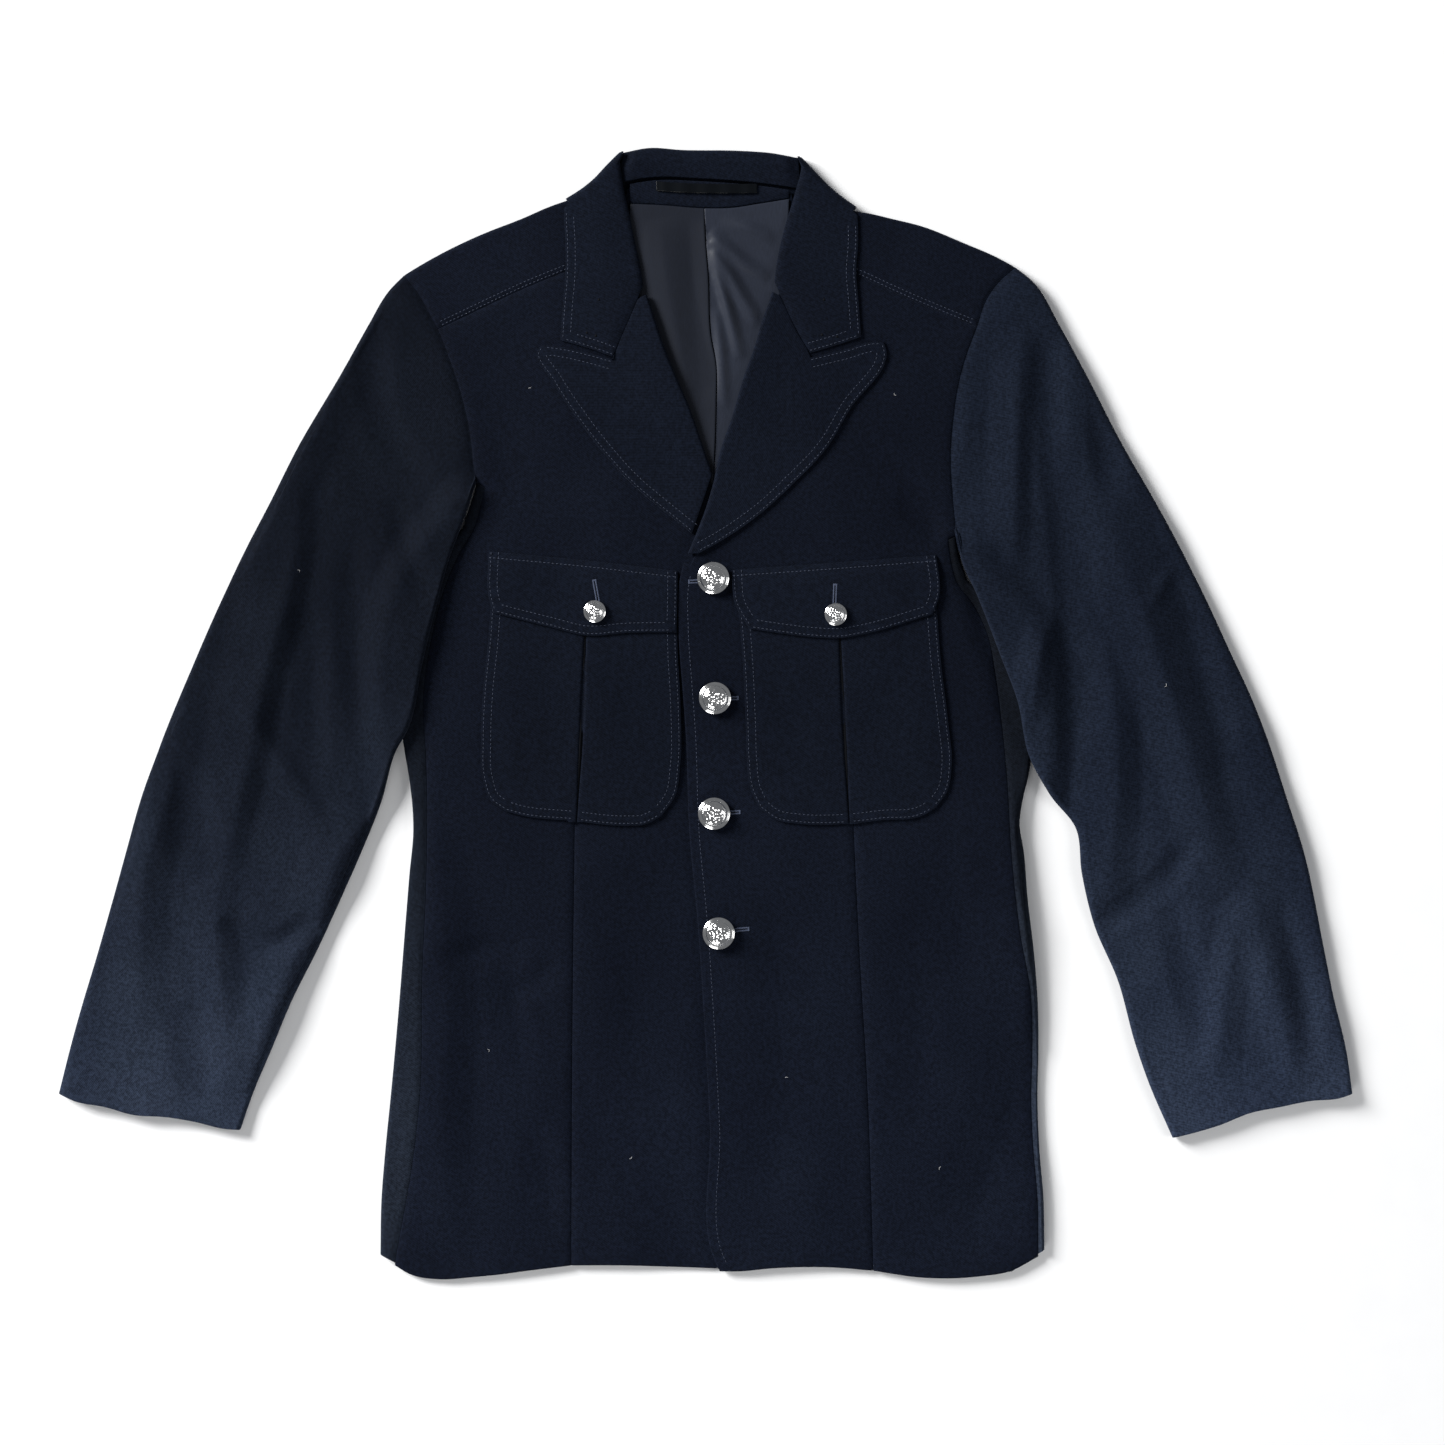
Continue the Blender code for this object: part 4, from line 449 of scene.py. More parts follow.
# White fibres that cling to the cloth: x, y, angle in degrees, length, bend
LINT = [(-0.411, -0.028, 20.0, 0.0034, 0.3), (0.173, -0.337, 65.0, 0.003, -0.25),
        (-0.16, -0.25, 110.0, 0.0026, 0.35), (-0.13, 0.24, 15.0, 0.0022, 0.2),
        (0.255, -0.345, 80.0, 0.0024, 0.3), (0.14, 0.235, 140.0, 0.0026, -0.3),
        (-0.055, -0.33, 40.0, 0.0024, 0.25), (0.34, 0.02, 75.0, 0.0028, 0.2),
        (-0.3, 0.105, 130.0, 0.0022, 0.3), (0.06, -0.27, 5.0, 0.0024, -0.2)]
LINT_STEPS = 8
LINT_RADIUS = 0.00011
SLEEVE_FROM_X = 0.245

# The camera and the stage
CAMERA_HEIGHT = 2.6
FRAME_WIDTH = 1.0693
SENSOR_WIDTH = 36.0
CAMERA_XY = (0.0126, -0.0074)
FRAME_LEVEL = 0.007
FLOOR_SIZE = 7.0
FLOOR_DROP = 0.0006

# Studio lights: name, place, size of the panel and power in watts
STUDIO_LIGHTS = [
    ("key_softbox", (-3.6, 2.2, 2.05), (1.8, 1.8), 450.0),
    ("fill_softbox", (2.6, -0.6, 1.9), (1.5, 1.5), 24.0),
    ("foot_softbox", (-0.9, -2.6, 1.3), (1.4, 1.0), 30.0)]
WORLD_STRENGTH = 0.18


def ease(value):
    """A smooth step from 0 to 1, for one number or many."""
    value = np.clip(value, 0.0, 1.0)
    return value * value * (3.0 - 2.0 * value)


def even(count):
    """Fractions from 0 to 1 in equal steps."""
    return np.linspace(0.0, 1.0, count + 1)


def curve(points, step=CURVE_STEP):
    """Closely spaced points on a smooth curve through the given plan points."""
    knots = np.array(points, dtype=float)
    ways = np.diff(knots, axis=0)
    spans = np.linalg.norm(ways, axis=1)
    slopes = np.empty_like(knots)
    slopes[0] = ways[0] / spans[0]
    slopes[-1] = ways[-1] / spans[-1]
    before = ways[:-1] / spans[:-1, None]
    after = ways[1:] / spans[1:, None]
    total = (spans[:-1] + spans[1:])[:, None]
    slopes[1:-1] = (before * spans[1:, None] + after * spans[:-1, None]) / total
    line = [knots[:1]]
    for index, span in enumerate(spans):
        count = max(1, int(math.ceil(span / step)))
        t = (np.arange(1, count + 1) / count)[:, None]
        line.append(knots[index] * (2 * t ** 3 - 3 * t ** 2 + 1)
                    + slopes[index] * span * (t ** 3 - 2 * t ** 2 + t)
                    + knots[index + 1] * (3 * t ** 2 - 2 * t ** 3)
                    + slopes[index + 1] * span * (t ** 3 - t ** 2))
    return np.vstack(line)


def walked(line):
    """The distance from a line's start to each of its points."""
    return np.concatenate([[0.0], np.cumsum(np.linalg.norm(np.diff(line, axis=0), axis=1))])


def along(line, fractions):
    """Points of a line at the given fractions of its length."""
    distances = walked(line)
    wanted = np.clip(np.asarray(fractions, dtype=float), 0.0, 1.0) * distances[-1]
    return np.column_stack([np.interp(wanted, distances, line[:, axis])
                            for axis in range(line.shape[1])])


def spaced(line, step):
    """A line's points at about the given spacing."""
    return along(line, even(max(1, int(round(walked(line)[-1] / step)))))


def shifted(line, distance):
    """The line moved sideways; a positive distance goes to the left of its direction."""
    ways = np.vstack([line[1:2], line[2:], line[-1:]]) - np.vstack([line[:1], line[:-2], line[-2:-1]])
    ways /= np.linalg.norm(ways, axis=1)[:, None]
    return line + np.column_stack([-ways[:, 1], ways[:, 0]]) * distance


def trimmed(line, distance):
    """The line without its first stretch."""
    distances = walked(line)
    start = along(line, [distance / distances[-1]])
    return np.vstack([start, line[distances > distance * 1.2]])


def x_at(line, y):
    """Where a line that rises in y crosses the given heights."""
    return np.interp(y, line[:, 1], line[:, 0])


def patch(first, last, start, end, rows, columns, first_columns=None):
    """Plan points between four curves, at the given fractions of its rows and columns."""
    s = np.asarray(rows, dtype=float)[:, None, None]
    t = np.asarray(columns, dtype=float)[None, :, None]
    top = along(first, columns if first_columns is None else first_columns)[None]
    foot = along(last, columns)[None]
    begin = along(start, rows)[:, None]
    finish = along(end, rows)[:, None]
    corners = (first[0] * (1 - t) + first[-1] * t) * (1 - s) + (last[0] * (1 - t) + last[-1] * t) * s
    return top * (1 - s) + foot * s + begin * (1 - t) + finish * t - corners


def between(foot, head, rows, columns):
    """Plan points between two lines whose ends are joined straight."""
    start, end = (np.array([foot[index], head[index]]) for index in (0, -1))
    return patch(foot, head, start, end, rows, columns)


def with_seam_rows(fractions, length):
    """Fractions of a length with more of them close to its sewn start."""
    near = np.array([0.4, 0.9, 1.6]) * SEAM_RING / length
    kept = [f for f in fractions if f == 0.0 or f > 1.5 * near[-1]]
    return np.sort(np.concatenate([kept, near]))


def nearest(points):
    """A tree that finds the nearest of many plan points."""
    tree = kdtree.KDTree(len(points))
    for index, point in enumerate(points):
        tree.insert((point[0], point[1], 0.0), index)
    tree.balance()
    return tree


def away_from(*lines):
    """A function that gives the distance from plan places to the nearest of several lines."""
    tree = nearest(np.vstack([spaced(line, MARK_STEP) for line in lines]))
    return lambda places: np.array([tree.find((x, y, 0.0))[2] for x, y in places])


def is_inside(places, outline):
    """Which plan places lie inside a closed outline."""
    inside = np.zeros(len(places), dtype=bool)
    x, y = places[:, 0], places[:, 1]
    for a, b in zip(outline, np.roll(outline, -1, axis=0)):
        if a[1] != b[1]:
            crosses = (a[1] > y) != (b[1] > y)
            inside ^= crosses & (x < a[0] + (y - a[1]) / (b[1] - a[1]) * (b[0] - a[0]))
    return inside


def fold_relief(places, folds):
    """The height that a table of soft ridges and valleys adds at plan places."""
    total = np.zeros(len(places))
    for points, left_width, right_width, height in folds:
        path = curve(points, 0.012)
        lengths = walked(path)
        away = np.full(len(places), 1.0)
        side = np.zeros(len(places))
        share = np.zeros(len(places))
        for index, (a, b) in enumerate(zip(path[:-1], path[1:])):
            way = b - a
            span = float(way @ way)
            t = np.clip(((places - a) @ way) / span, 0.0, 1.0)
            gap = places - a - t[:, None] * way
            distance = np.linalg.norm(gap, axis=1)
            nearer = distance < away
            away[nearer] = distance[nearer]
            side[nearer] = (way[0] * gap[:, 1] - way[1] * gap[:, 0])[nearer]
            share[nearer] = ((lengths[index] + t * math.sqrt(span)) / lengths[-1])[nearer]
        reach = away / np.where(side > 0, left_width, right_width)
        drop = np.sqrt(reach ** 2 + CREASE_SOFTNESS ** 2) - CREASE_SOFTNESS
        fade = np.sin(math.pi * share) ** 0.6
        total += height * fade * np.clip(1.0 - drop, 0.0, 1.0)
    return total


def rumple(places, size, height):
    """Shallow uneven waves that cloth keeps between its folds."""
    return height * np.array([noise.noise(Vector((x / size, y / size, 0.7))) for x, y in places])


def collar_lift(places):
    """How far the layers under the neck are raised by the collar that lies below them."""
    along_back = ease((places[:, 1] - COLLAR_RAMP_START) / COLLAR_RAMP)
    across_back = ease((COLLAR_HALF_WIDTH - np.abs(places[:, 0])) / COLLAR_SIDE_RAMP)
    return COLLAR_LIFT * along_back * across_back


def plan_curves(table):
    """The smooth plan curves of a table."""
    return {key: curve(points) for key, points in table.items() if isinstance(points, list)}


SIGN = {"right": -1.0, "left": 1.0}
PLAN = {side: plan_curves(table) for side, table in HALVES.items()}
POCKET = {side: plan_curves(table["pocket"]) for side, table in HALVES.items()}
FLAP = {side: plan_curves(table["flap"]) for side, table in HALVES.items()}
LAP_LINE = np.vstack([PLAN["left"]["edge"], PLAN["left"]["roll"][1:]])
HEM_LINES = {side: np.vstack([PLAN[side]["hem_outer"], PLAN[side]["hem_inner"][1:]])
             for side in HALVES}


def front_level(side, places):
    """The height of the upper face of one front, with its folds and its turned hem."""
    folds = fold_relief(places, BODY_FOLDS[side]) + rumple(places, *BODY_RUMPLE)
    level = BODY_TOP + sizes().fold_strength * folds
    hem = HEM_LINES[side] if side == "left" else HEM_LINES[side][::-1]
    hem = hem[np.argsort(hem[:, 0])]
    over_hem = places[:, 1] - np.interp(places[:, 0], hem[:, 0], hem[:, 1])
    level -= HEM_FALL * np.exp(-np.maximum(over_hem, 0.0) / HEM_FALL_WIDTH)
    if side == "right":
        past = places[:, 0] - x_at(LAP_LINE, places[:, 1])
        level -= FRONT_LAP * ease((past + LAP_RAMP_START) / LAP_RAMP)
        level -= LAP_DIP * np.exp(-(past / LAP_DIP_WIDTH) ** 2)
    return level


def seam_fall(away):
    """How far cloth turns down at the given distances from its sewn edges."""
    return sizes().seam_depth * np.exp(-(away / SEAM_WIDTH) ** 2)


def sizes():
    """The sizes of the panel."""
    return bpy.context.scene.tunic_sizes


def colours():
    """The colours of the panel."""
    return bpy.context.scene.tunic_colours


def placed(name, data, place=(0.0, 0.0, 0.0)):
    """A new object in the scene."""
    made = bpy.data.objects.new(name, data)
    made.location = place
    bpy.context.scene.collection.objects.link(made)
    return made


def add_mesh(name, points, faces, material, rounded=True):
    """An object in world place from plan points, with softly rounded cut edges."""
    places = np.asarray(points, dtype=float) - np.array([*PLAN_MIDDLE, 0.0])
    mesh = bpy.data.meshes.new(name)
    mesh.from_pydata(places.tolist(), [], [tuple(int(i) for i in face) for face in faces])
    mesh.shade_smooth()
    mesh.materials.append(material)
    made = placed(name, mesh)
    if rounded:
        bevel = made.modifiers.new("Cut edges", "BEVEL")
        bevel.width = sizes().edge_round
        bevel.segments = 2
        bevel.limit_method = "ANGLE"
        bevel.angle_limit = math.radians(55)
    return made


def open_edges(faces):
    """The edges that only one face uses, in that face's direction."""
    uses = set()
    for face in faces:
        face = [int(i) for i in face]
        uses.update(zip(face, face[1:] + face[:1]))
    return [edge for edge in uses if edge[::-1] not in uses]


def closed_wall(name, outer, inner, faces, material):
    """A shell between two copies of a surface, whose outer copy faces out."""
    count = len(outer)
    mirrored = [[int(i) + count for i in reversed(list(face))] for face in faces]
    rim = [(b, a, a + count, b + count) for a, b in open_edges(faces)]
    return add_mesh(name, np.vstack([outer, inner]), list(faces) + mirrored + rim, material)


def cloth_sheet(name, lines, top, thickness, material, sewn=(), cell=None):
    """A piece of cloth inside a plan outline; top gives the height of its upper face."""
    cell = cell or sizes().cloth_cell
    edges = []
    for line in lines:
        for point in spaced(line, EDGE_STEP) if len(line) > 2 else line:
            if not edges or np.linalg.norm(point - edges[-1]) > LEAST_EDGE:
                edges.append(point)
    if np.linalg.norm(edges[0] - edges[-1]) <= LEAST_EDGE:
        edges.pop()
    outline = np.array(edges)
    closed = np.vstack([outline, outline[:1]])
    rings = np.vstack([shifted(closed, way * SEAM_RING) for way in (-1.0, 1.0)])
    from_edge = away_from(closed)
    rings = rings[is_inside(rings, outline) & (from_edge(rings) > 0.9 * SEAM_RING)]
    low, high = outline.min(axis=0), outline.max(axis=0)
    row_height = cell * math.sqrt(0.75)
    lattice = []
    for number, y in enumerate(np.arange(low[1], high[1], row_height)):
        xs = np.arange(low[0] + (0.5 * cell if number % 2 else 0.0), high[0], cell)
        lattice.append(np.column_stack([xs, np.full(len(xs), y)]))
    lattice = np.vstack(lattice)
    lattice = lattice[is_inside(lattice, outline)]
    lattice = lattice[from_edge(lattice) > SEAM_RING + 0.45 * cell]
    plan = [Vector(place) for place in np.vstack([outline, rings, lattice])]
    flat, _, triangles, _, _, _ = delaunay_2d_cdt(plan, [], [list(range(len(outline)))], 1, 1e-7)
    places = np.array([tuple(place) for place in flat])
    faces = np.array(triangles)
    a, b, c = places[faces[:, 0]], places[faces[:, 1]], places[faces[:, 2]]
    turned = ((b - a)[:, 0] * (c - a)[:, 1] - (b - a)[:, 1] * (c - a)[:, 0]) < 0
    faces[turned] = faces[turned][:, ::-1]
    level = top(places)
    if sewn:
        level = level - seam_fall(away_from(*sewn)(places))
    upper = np.column_stack([places, level])
    lower = np.column_stack([places, level - thickness])
    return closed_wall(name, upper, lower, faces, material)


def grid_faces(rows, columns):
    """The quads of a grid of points."""
    corner = (np.arange(rows - 1)[:, None] * columns + np.arange(columns - 1)[None]).reshape(-1)
    return np.column_stack([corner, corner + 1, corner + columns + 1, corner + columns])


def cloth_wall(name, grid, thickness, material, square_seams=False):
    """A cloth shell from a grid of points on its outer face, whose highest part faces up."""
    normals = np.cross(np.gradient(grid, axis=1), np.gradient(grid, axis=0))
    normals /= np.maximum(np.linalg.norm(normals, axis=2), 1e-12)[:, :, None]
    outer = grid.reshape(-1, 3)
    top = int(np.argmax(outer[:, 2]))
    if normals.reshape(-1, 3)[top, 2] < 0:
        normals = -normals
    if square_seams:
        for column in (0, -1):
            upright = np.sign(normals[:, column, 2])
            normals[:, column] = 0.0
            normals[:, column, 2] = upright
    inner = (grid - normals * thickness).reshape(-1, 3)
    faces = faces_up(outer, grid_faces(*grid.shape[:2]), top)
    return closed_wall(name, outer, inner, faces, material)


def faces_up(points, faces, corner):
    """The faces, turned so that those at one point look upwards."""
    near = faces[(faces == corner).any(axis=1)]
    a, b, c = points[near[:, 0]], points[near[:, 1]], points[near[:, 2]]
    return faces if np.cross(b - a, c - a)[:, 2].sum() > 0 else faces[:, ::-1]


def upright_wall(name, upper, lower, material):
    """A cloth shell between two grids of points that lie over each other."""
    faces = grid_faces(*upper.shape[:2])
    outer = upper.reshape(-1, 3)
    faces = faces_up(outer, faces, int(faces[len(faces) // 2][0]))
    return closed_wall(name, outer, lower.reshape(-1, 3), faces, material)


def laid_sheet(name, plan, level, thickness, material):
    """A cloth shell on a grid of plan points, with its upper face at the given heights."""
    upper = np.dstack([plan, np.reshape(level, plan.shape[:2])])
    return upright_wall(name, upper, upper - np.array([0.0, 0.0, thickness]), material)


def fold_arc(edge, inward, high, low):
    """Points round a fold edge, from its upper layer to its lower one."""
    radius = 0.5 * (high - low)
    angles = math.pi * (0.5 - even(FOLD_STEPS))
    places = edge + inward * radius * (1.0 - np.cos(angles))[:, None]
    return np.column_stack([places, low + radius * (1.0 + np.sin(angles))])


def wrapped_row(row, high, low, fractions, turn, turn_steps=8):
    """A section over a top layer, round the fold edge at the row's end and back below it."""
    edge = row[-1]
    top_edge = float(high(edge[None])[0])
    low_edge = float(low(edge[None])[0])
    radius = 0.5 * (top_edge - low_edge)
    length = walked(row)[-1]
    top = along(row, np.asarray(fractions) * (1.0 - radius / length))
    inward = top[-1] - edge
    inward /= np.linalg.norm(inward)
    arc = fold_arc(edge, inward, top_edge, low_edge)
    arc[:, :2] += (top[-1] - edge - inward * radius) * np.linspace(1.0, 0.0, len(arc))[:, None]
    under = edge + inward * np.linspace(radius, turn, turn_steps + 1)[1:, None]
    return np.vstack([np.column_stack([top, high(top)])[:-1], arc,
                      np.column_stack([under, low(under)])])


def dress(piece, node):
    """Let a piece ride on the one body and stand for its solid."""
    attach(piece, "root")
    if node:
        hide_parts(node)
    return piece


def cut(piece, node):
    """Dress a cloth piece whose cut fits a rectangle and isn't one."""
    dress(piece, node)
    return piece


def flat_level(places):
    """The height of the surface that the tunic lies on."""
    return np.zeros(len(places))


def side_fold(side):
    """The body's fold edge, which runs along the sleeve's until it passes below it."""
    foot = UNDERARM_FOOT_Y[side]
    sleeve, fold = PLAN[side]["sleeve_inner"], PLAN[side]["fold_edge"]
    beside = shifted(sleeve[sleeve[:, 1] >= foot], -SIGN[side] * SEAM_GAP)
    return np.vstack([beside, fold[fold[:, 1] < foot - CURVE_STEP]])


def side_grid(side):
    """The side panel's section at each of its rows, from its seam to its end under the body."""
    seam, fold = PLAN[side]["side_seam"], side_fold(side)
    rows = even(int(walked(seam)[-1] / ROW_STEP))
    plan = between(seam, fold, even(8), rows).transpose(1, 0, 2)
    widths = SIDE_TURN_AT_ARMHOLE + (SIDE_TURN - SIDE_TURN_AT_ARMHOLE) * ease(rows / SIDE_TURN_GROWTH)
    fractions = np.array([0.0, 0.08, 0.16, 0.28, 0.45, 0.62, 0.8, 1.0])
    from_seam = away_from(seam)

    def high(places):
        return front_level(side, places) - seam_fall(from_seam(places))

    return np.array([wrapped_row(row, high, flat_level, fractions, width)
                     for row, width in zip(plan, widths)])


def yoke_curves(side):
    """The four plan curves of a shoulder piece: armhole, neck, yoke seam and shoulder edge."""
    curves = PLAN[side]
    seam = trimmed(curves["yoke_seam"], 2 * SEAM_GAP)
    edge = trimmed(curves["shoulder_edge"], 2 * SEAM_GAP)
    armhole = shifted(curves["armhole"], SIGN[side] * SEAM_GAP)
    upper = armhole[(armhole[:, 1] > seam[0, 1] + 0.001) & (armhole[:, 1] < edge[0, 1] - 0.001)]
    return np.vstack([seam[:1], upper, edge[:1]]), np.vstack([seam[-1:], edge[-1:]]), seam, edge


def yoke_grid(side):
    """The shoulder piece's section at each of its rows, from the yoke seam to its end at the back."""
    first, last, seam, edge = yoke_curves(side)
    rows = with_seam_rows(even(int(walked(seam)[-1] / ROW_STEP)), walked(seam)[-1])
    plan = patch(first, last, seam, edge, rows, even(24))
    fractions = with_seam_rows(even(14), walked(plan[0])[-1])
    from_seams = away_from(seam, first)

    def high(places):
        return front_level(side, places) - seam_fall(from_seams(places))

    return np.array([wrapped_row(row, high, collar_lift, fractions, YOKE_TURN) for row in plan])


def front_lines(side):
    """The outline of a front panel as lines that follow each other, and its sewn lines."""
    curves = PLAN[side]
    sign = SIGN[side]
    dart = curves["dart"]
    dart_outer = shifted(dart, -sign * SEAM_GAP)
    dart_inner = shifted(dart, sign * SEAM_GAP)
    hem_outer = np.vstack([curves["hem_outer"][:-1], dart_outer[:1]])
    hem_inner = np.vstack([dart_inner[:1], curves["hem_inner"][1:]])
    roll = shifted(curves["roll"], -sign * (LAPEL_TURN + GAP))
    yoke = trimmed(shifted(curves["yoke_seam"], sign * SEAM_GAP), 2 * SEAM_GAP)
    armhole = shifted(curves["armhole"], sign * SEAM_GAP)
    armhole = armhole[armhole[:, 1] < yoke[0, 1] - 0.001]
    seam = shifted(curves["side_seam"], -sign * SEAM_GAP)
    under_arm = np.vstack([seam[0] + np.array([0.0, SEAM_GAP]), armhole[0]])
    neck = np.vstack([roll[-1:], yoke[-1:]])
    lines = [hem_outer, dart_outer, dart_inner[::-1], hem_inner, curves["edge"], roll, neck,
             yoke[::-1], armhole[::-1], under_arm[::-1], seam]
    return lines, [dart, yoke, armhole, seam]


def build_front(side, material):
    """A front panel, from the hem to the yoke seam, with its dart as a seam from the hem."""
    lines, sewn = front_lines(side)
    piece = cloth_sheet("cloth_front_" + side, lines, lambda places: front_level(side, places),
                        CLOTH, material, sewn)
    return cut(piece, "front_" + side)


def build_side(side, material):
    """A side panel that turns round the fold edge and lies under the body up to the back."""
    piece = cloth_wall("cloth_side_" + side, side_grid(side), CLOTH, material, square_seams=True)
    return cut(piece, "side_" + side)


def build_yoke(side, material):
    """A shoulder piece from the yoke seam over the shoulder edge to the back."""
    piece = cloth_wall("cloth_yoke_" + side, yoke_grid(side), CLOTH, material, square_seams=True)
    return cut(piece, "yoke_" + side)


def sleeve_rise(side, ramp):
    """How high the sleeve's layers are carried by the flank of the body below them."""
    fold = trimmed(side_fold(side), FLANK_START)
    inner_x = SIGN[side] * FLANK_INNER_X
    flank = np.vstack([[inner_x, fold[0, 1]], fold, [inner_x, fold[-1, 1]]])
    from_border = away_from(np.vstack([flank, flank[:1]]))

    def height(places):
        away = from_border(places)
        away[is_inside(places, flank)] = 0.0
        return (BODY_TOP + GAP) * (1.0 - ease((away - SLEEVE_PLATEAU) / ramp))
    return height


def underside_relief(places):
    """Shallow folds of the hidden underside, which only rise off the surface."""
    folds = [(*fold[:3], fold[3] * UNDERSIDE_RELIEF) for fold in UNDERSIDE_FOLDS]
    return sizes().fold_strength * fold_relief(places, folds)


def sleeve_folds(side, places):
    """The height of a sleeve's creases and waves, which stay clear of its lower layer."""
    folds = fold_relief(places, SLEEVE_FOLDS[side]) + rumple(places, *SLEEVE_RUMPLE)
    folds *= sizes().fold_strength
    return SLEEVE_SWELL + np.where(folds < 0.0, SLEEVE_DIP * np.tanh(folds / SLEEVE_DIP), folds)


def build_sleeve(side, material):
    """A two-piece sleeve: the upper piece turns under both fold edges to meet the under piece."""
    curves = PLAN[side]
    inner, outer = curves["sleeve_inner"], curves["sleeve_outer"]
    armhole = np.vstack([inner[:1], shifted(curves["armhole"], -SIGN[side] * SEAM_GAP)[1:-1], outer[:1]])
    low_rise = sleeve_rise(side, SLEEVE_RAMP_BELOW)
    high_rise = sleeve_rise(side, SLEEVE_RAMP_ABOVE)
    length = walked(outer)[-1]
    rows = with_seam_rows(even(int(length / ROW_STEP)), length)
    dense = even(160)
    plan = patch(armhole, curves["cuff"], inner, outer, rows, dense)
    widths = np.linalg.norm(along(outer, rows) - along(inner, rows), axis=1)
    start = SLEEVE_TURN_INNER / widths
    stop = SLEEVE_TURN_OUTER / widths
    slit = 0.5 * GAP / widths
    count = len(rows)

    def places_at(fractions):
        """Plan places at fractions that have one row of their own for each row of the sleeve."""
        return np.array([np.column_stack([np.interp(wanted, dense, row[:, axis]) for axis in (0, 1)])
                         for row, wanted in zip(plan, fractions)])

    def heights(grid, height):
        return height(grid.reshape(-1, 2)).reshape(grid.shape[:2])

    from_armhole = away_from(armhole)

    def high(places):
        folds = sleeve_folds(side, places) * ease(from_armhole(places) / 0.012)
        return high_rise(places) + SLEEVE_HEIGHT + folds - seam_fall(from_armhole(places))

    lip_in = places_at((start - slit)[:, None] * np.linspace(1.0, 0.12, 12)[None])
    top = places_at(np.broadcast_to(np.linspace(0.032, 0.968, 54), (count, 54)))
    lip_out = places_at(1.0 - (stop - slit)[:, None] * np.linspace(0.3, 1.0, 5)[None])
    edge_in, edge_out = plan[:, 0], plan[:, -1]
    top_z = heights(top, high)
    lip_in_z = heights(lip_in, low_rise)
    lip_out_z = heights(lip_out, low_rise)
    grid = []
    for row in range(count):
        arcs = []
        for edge, near in ((edge_in[row], top[row, 0]), (edge_out[row], top[row, -1])):
            inward = (near - edge) / np.linalg.norm(near - edge)
            arcs.append(fold_arc(edge, inward, float(high(edge[None])[0]),
                                 float(low_rise(edge[None])[0])))
        grid.append(np.vstack([np.column_stack([lip_in[row], lip_in_z[row]]), arcs[0][::-1],
                               np.column_stack([top[row], top_z[row]]), arcs[1],
                               np.column_stack([lip_out[row], lip_out_z[row]])]))
    upper = cloth_wall("cloth_sleeve_upper_" + side, np.array(grid), CLOTH, material,
                       square_seams=True)
    cut(upper, "sleeve_upper_" + side)
    middle = 1.0 - start - stop - 2 * slit
    under = places_at((start + slit)[:, None] + middle[:, None] * even(20)[None])
    relief = 0.4 * heights(under, underside_relief) * np.sin(math.pi * even(20))
    level = heights(under, low_rise) + relief + CLOTH
    below = laid_sheet("cloth_sleeve_under_" + side, under, level, CLOTH, material)
    return cut(below, "sleeve_under_" + side)


def build_turning(side, material):
    """The seam turnings inside the armhole, pressed flat below the seam."""
    line = PLAN[side]["armhole"]
    line = trimmed(trimmed(line, TURNING_HALF_WIDTH)[::-1], TURNING_HALF_WIDTH)[::-1]
    line = spaced(line, EDGE_STEP)
    plan = np.array([shifted(line, way * TURNING_HALF_WIDTH) for way in (-1.0, -0.5, 0.0, 0.5, 1.0)])
    level = np.minimum(front_level(side, plan.reshape(-1, 2)), SLEEVE_HEIGHT)
    level -= CLOTH + sizes().seam_depth + GAP
    piece = laid_sheet("cloth_armhole_turning_" + side, plan, level, TURNING_CLOTH, material)
    length = walked(line)[-1] + EDGE_STEP
    return cut(piece, None)


def build_back(material):
    """The back panel, between what the side panels and the yokes turn under."""
    turns = {side: side_grid(side)[:, -1, :2] for side in HALVES}
    yokes = {side: yoke_grid(side)[:, -1, :2] for side in HALVES}
    side_right = shifted(turns["right"][::-1], -GAP)
    side_left = shifted(turns["left"], -GAP)
    yoke_right = shifted(yokes["right"], -GAP)
    yoke_left = shifted(yokes["left"][::-1], -GAP)
    arm_right = shifted(PLAN["right"]["armhole"], -GAP)
    arm_right = arm_right[arm_right[:, 1] < yoke_right[0, 1] - YOKE_CORNER]
    arm_left = shifted(PLAN["left"]["armhole"], GAP)
    arm_left = arm_left[arm_left[:, 1] < yoke_left[-1, 1] - YOKE_CORNER]
    hem = np.vstack([side_left[-1:], curve(BACK_HEM), side_right[:1]])
    lines = [hem, side_right, arm_right, yoke_right, curve(BACK_NECK), yoke_left,
             arm_left[::-1], side_left]
    from_border = away_from(np.vstack(lines))

    def top(places):
        inner = ease((from_border(places) - 0.004) / 0.02)
        return CLOTH + collar_lift(places) + inner * underside_relief(places)

    piece = cloth_sheet("cloth_back", lines, top, CLOTH, material, cell=1.5 * sizes().cloth_cell)
    return cut(piece, "back")


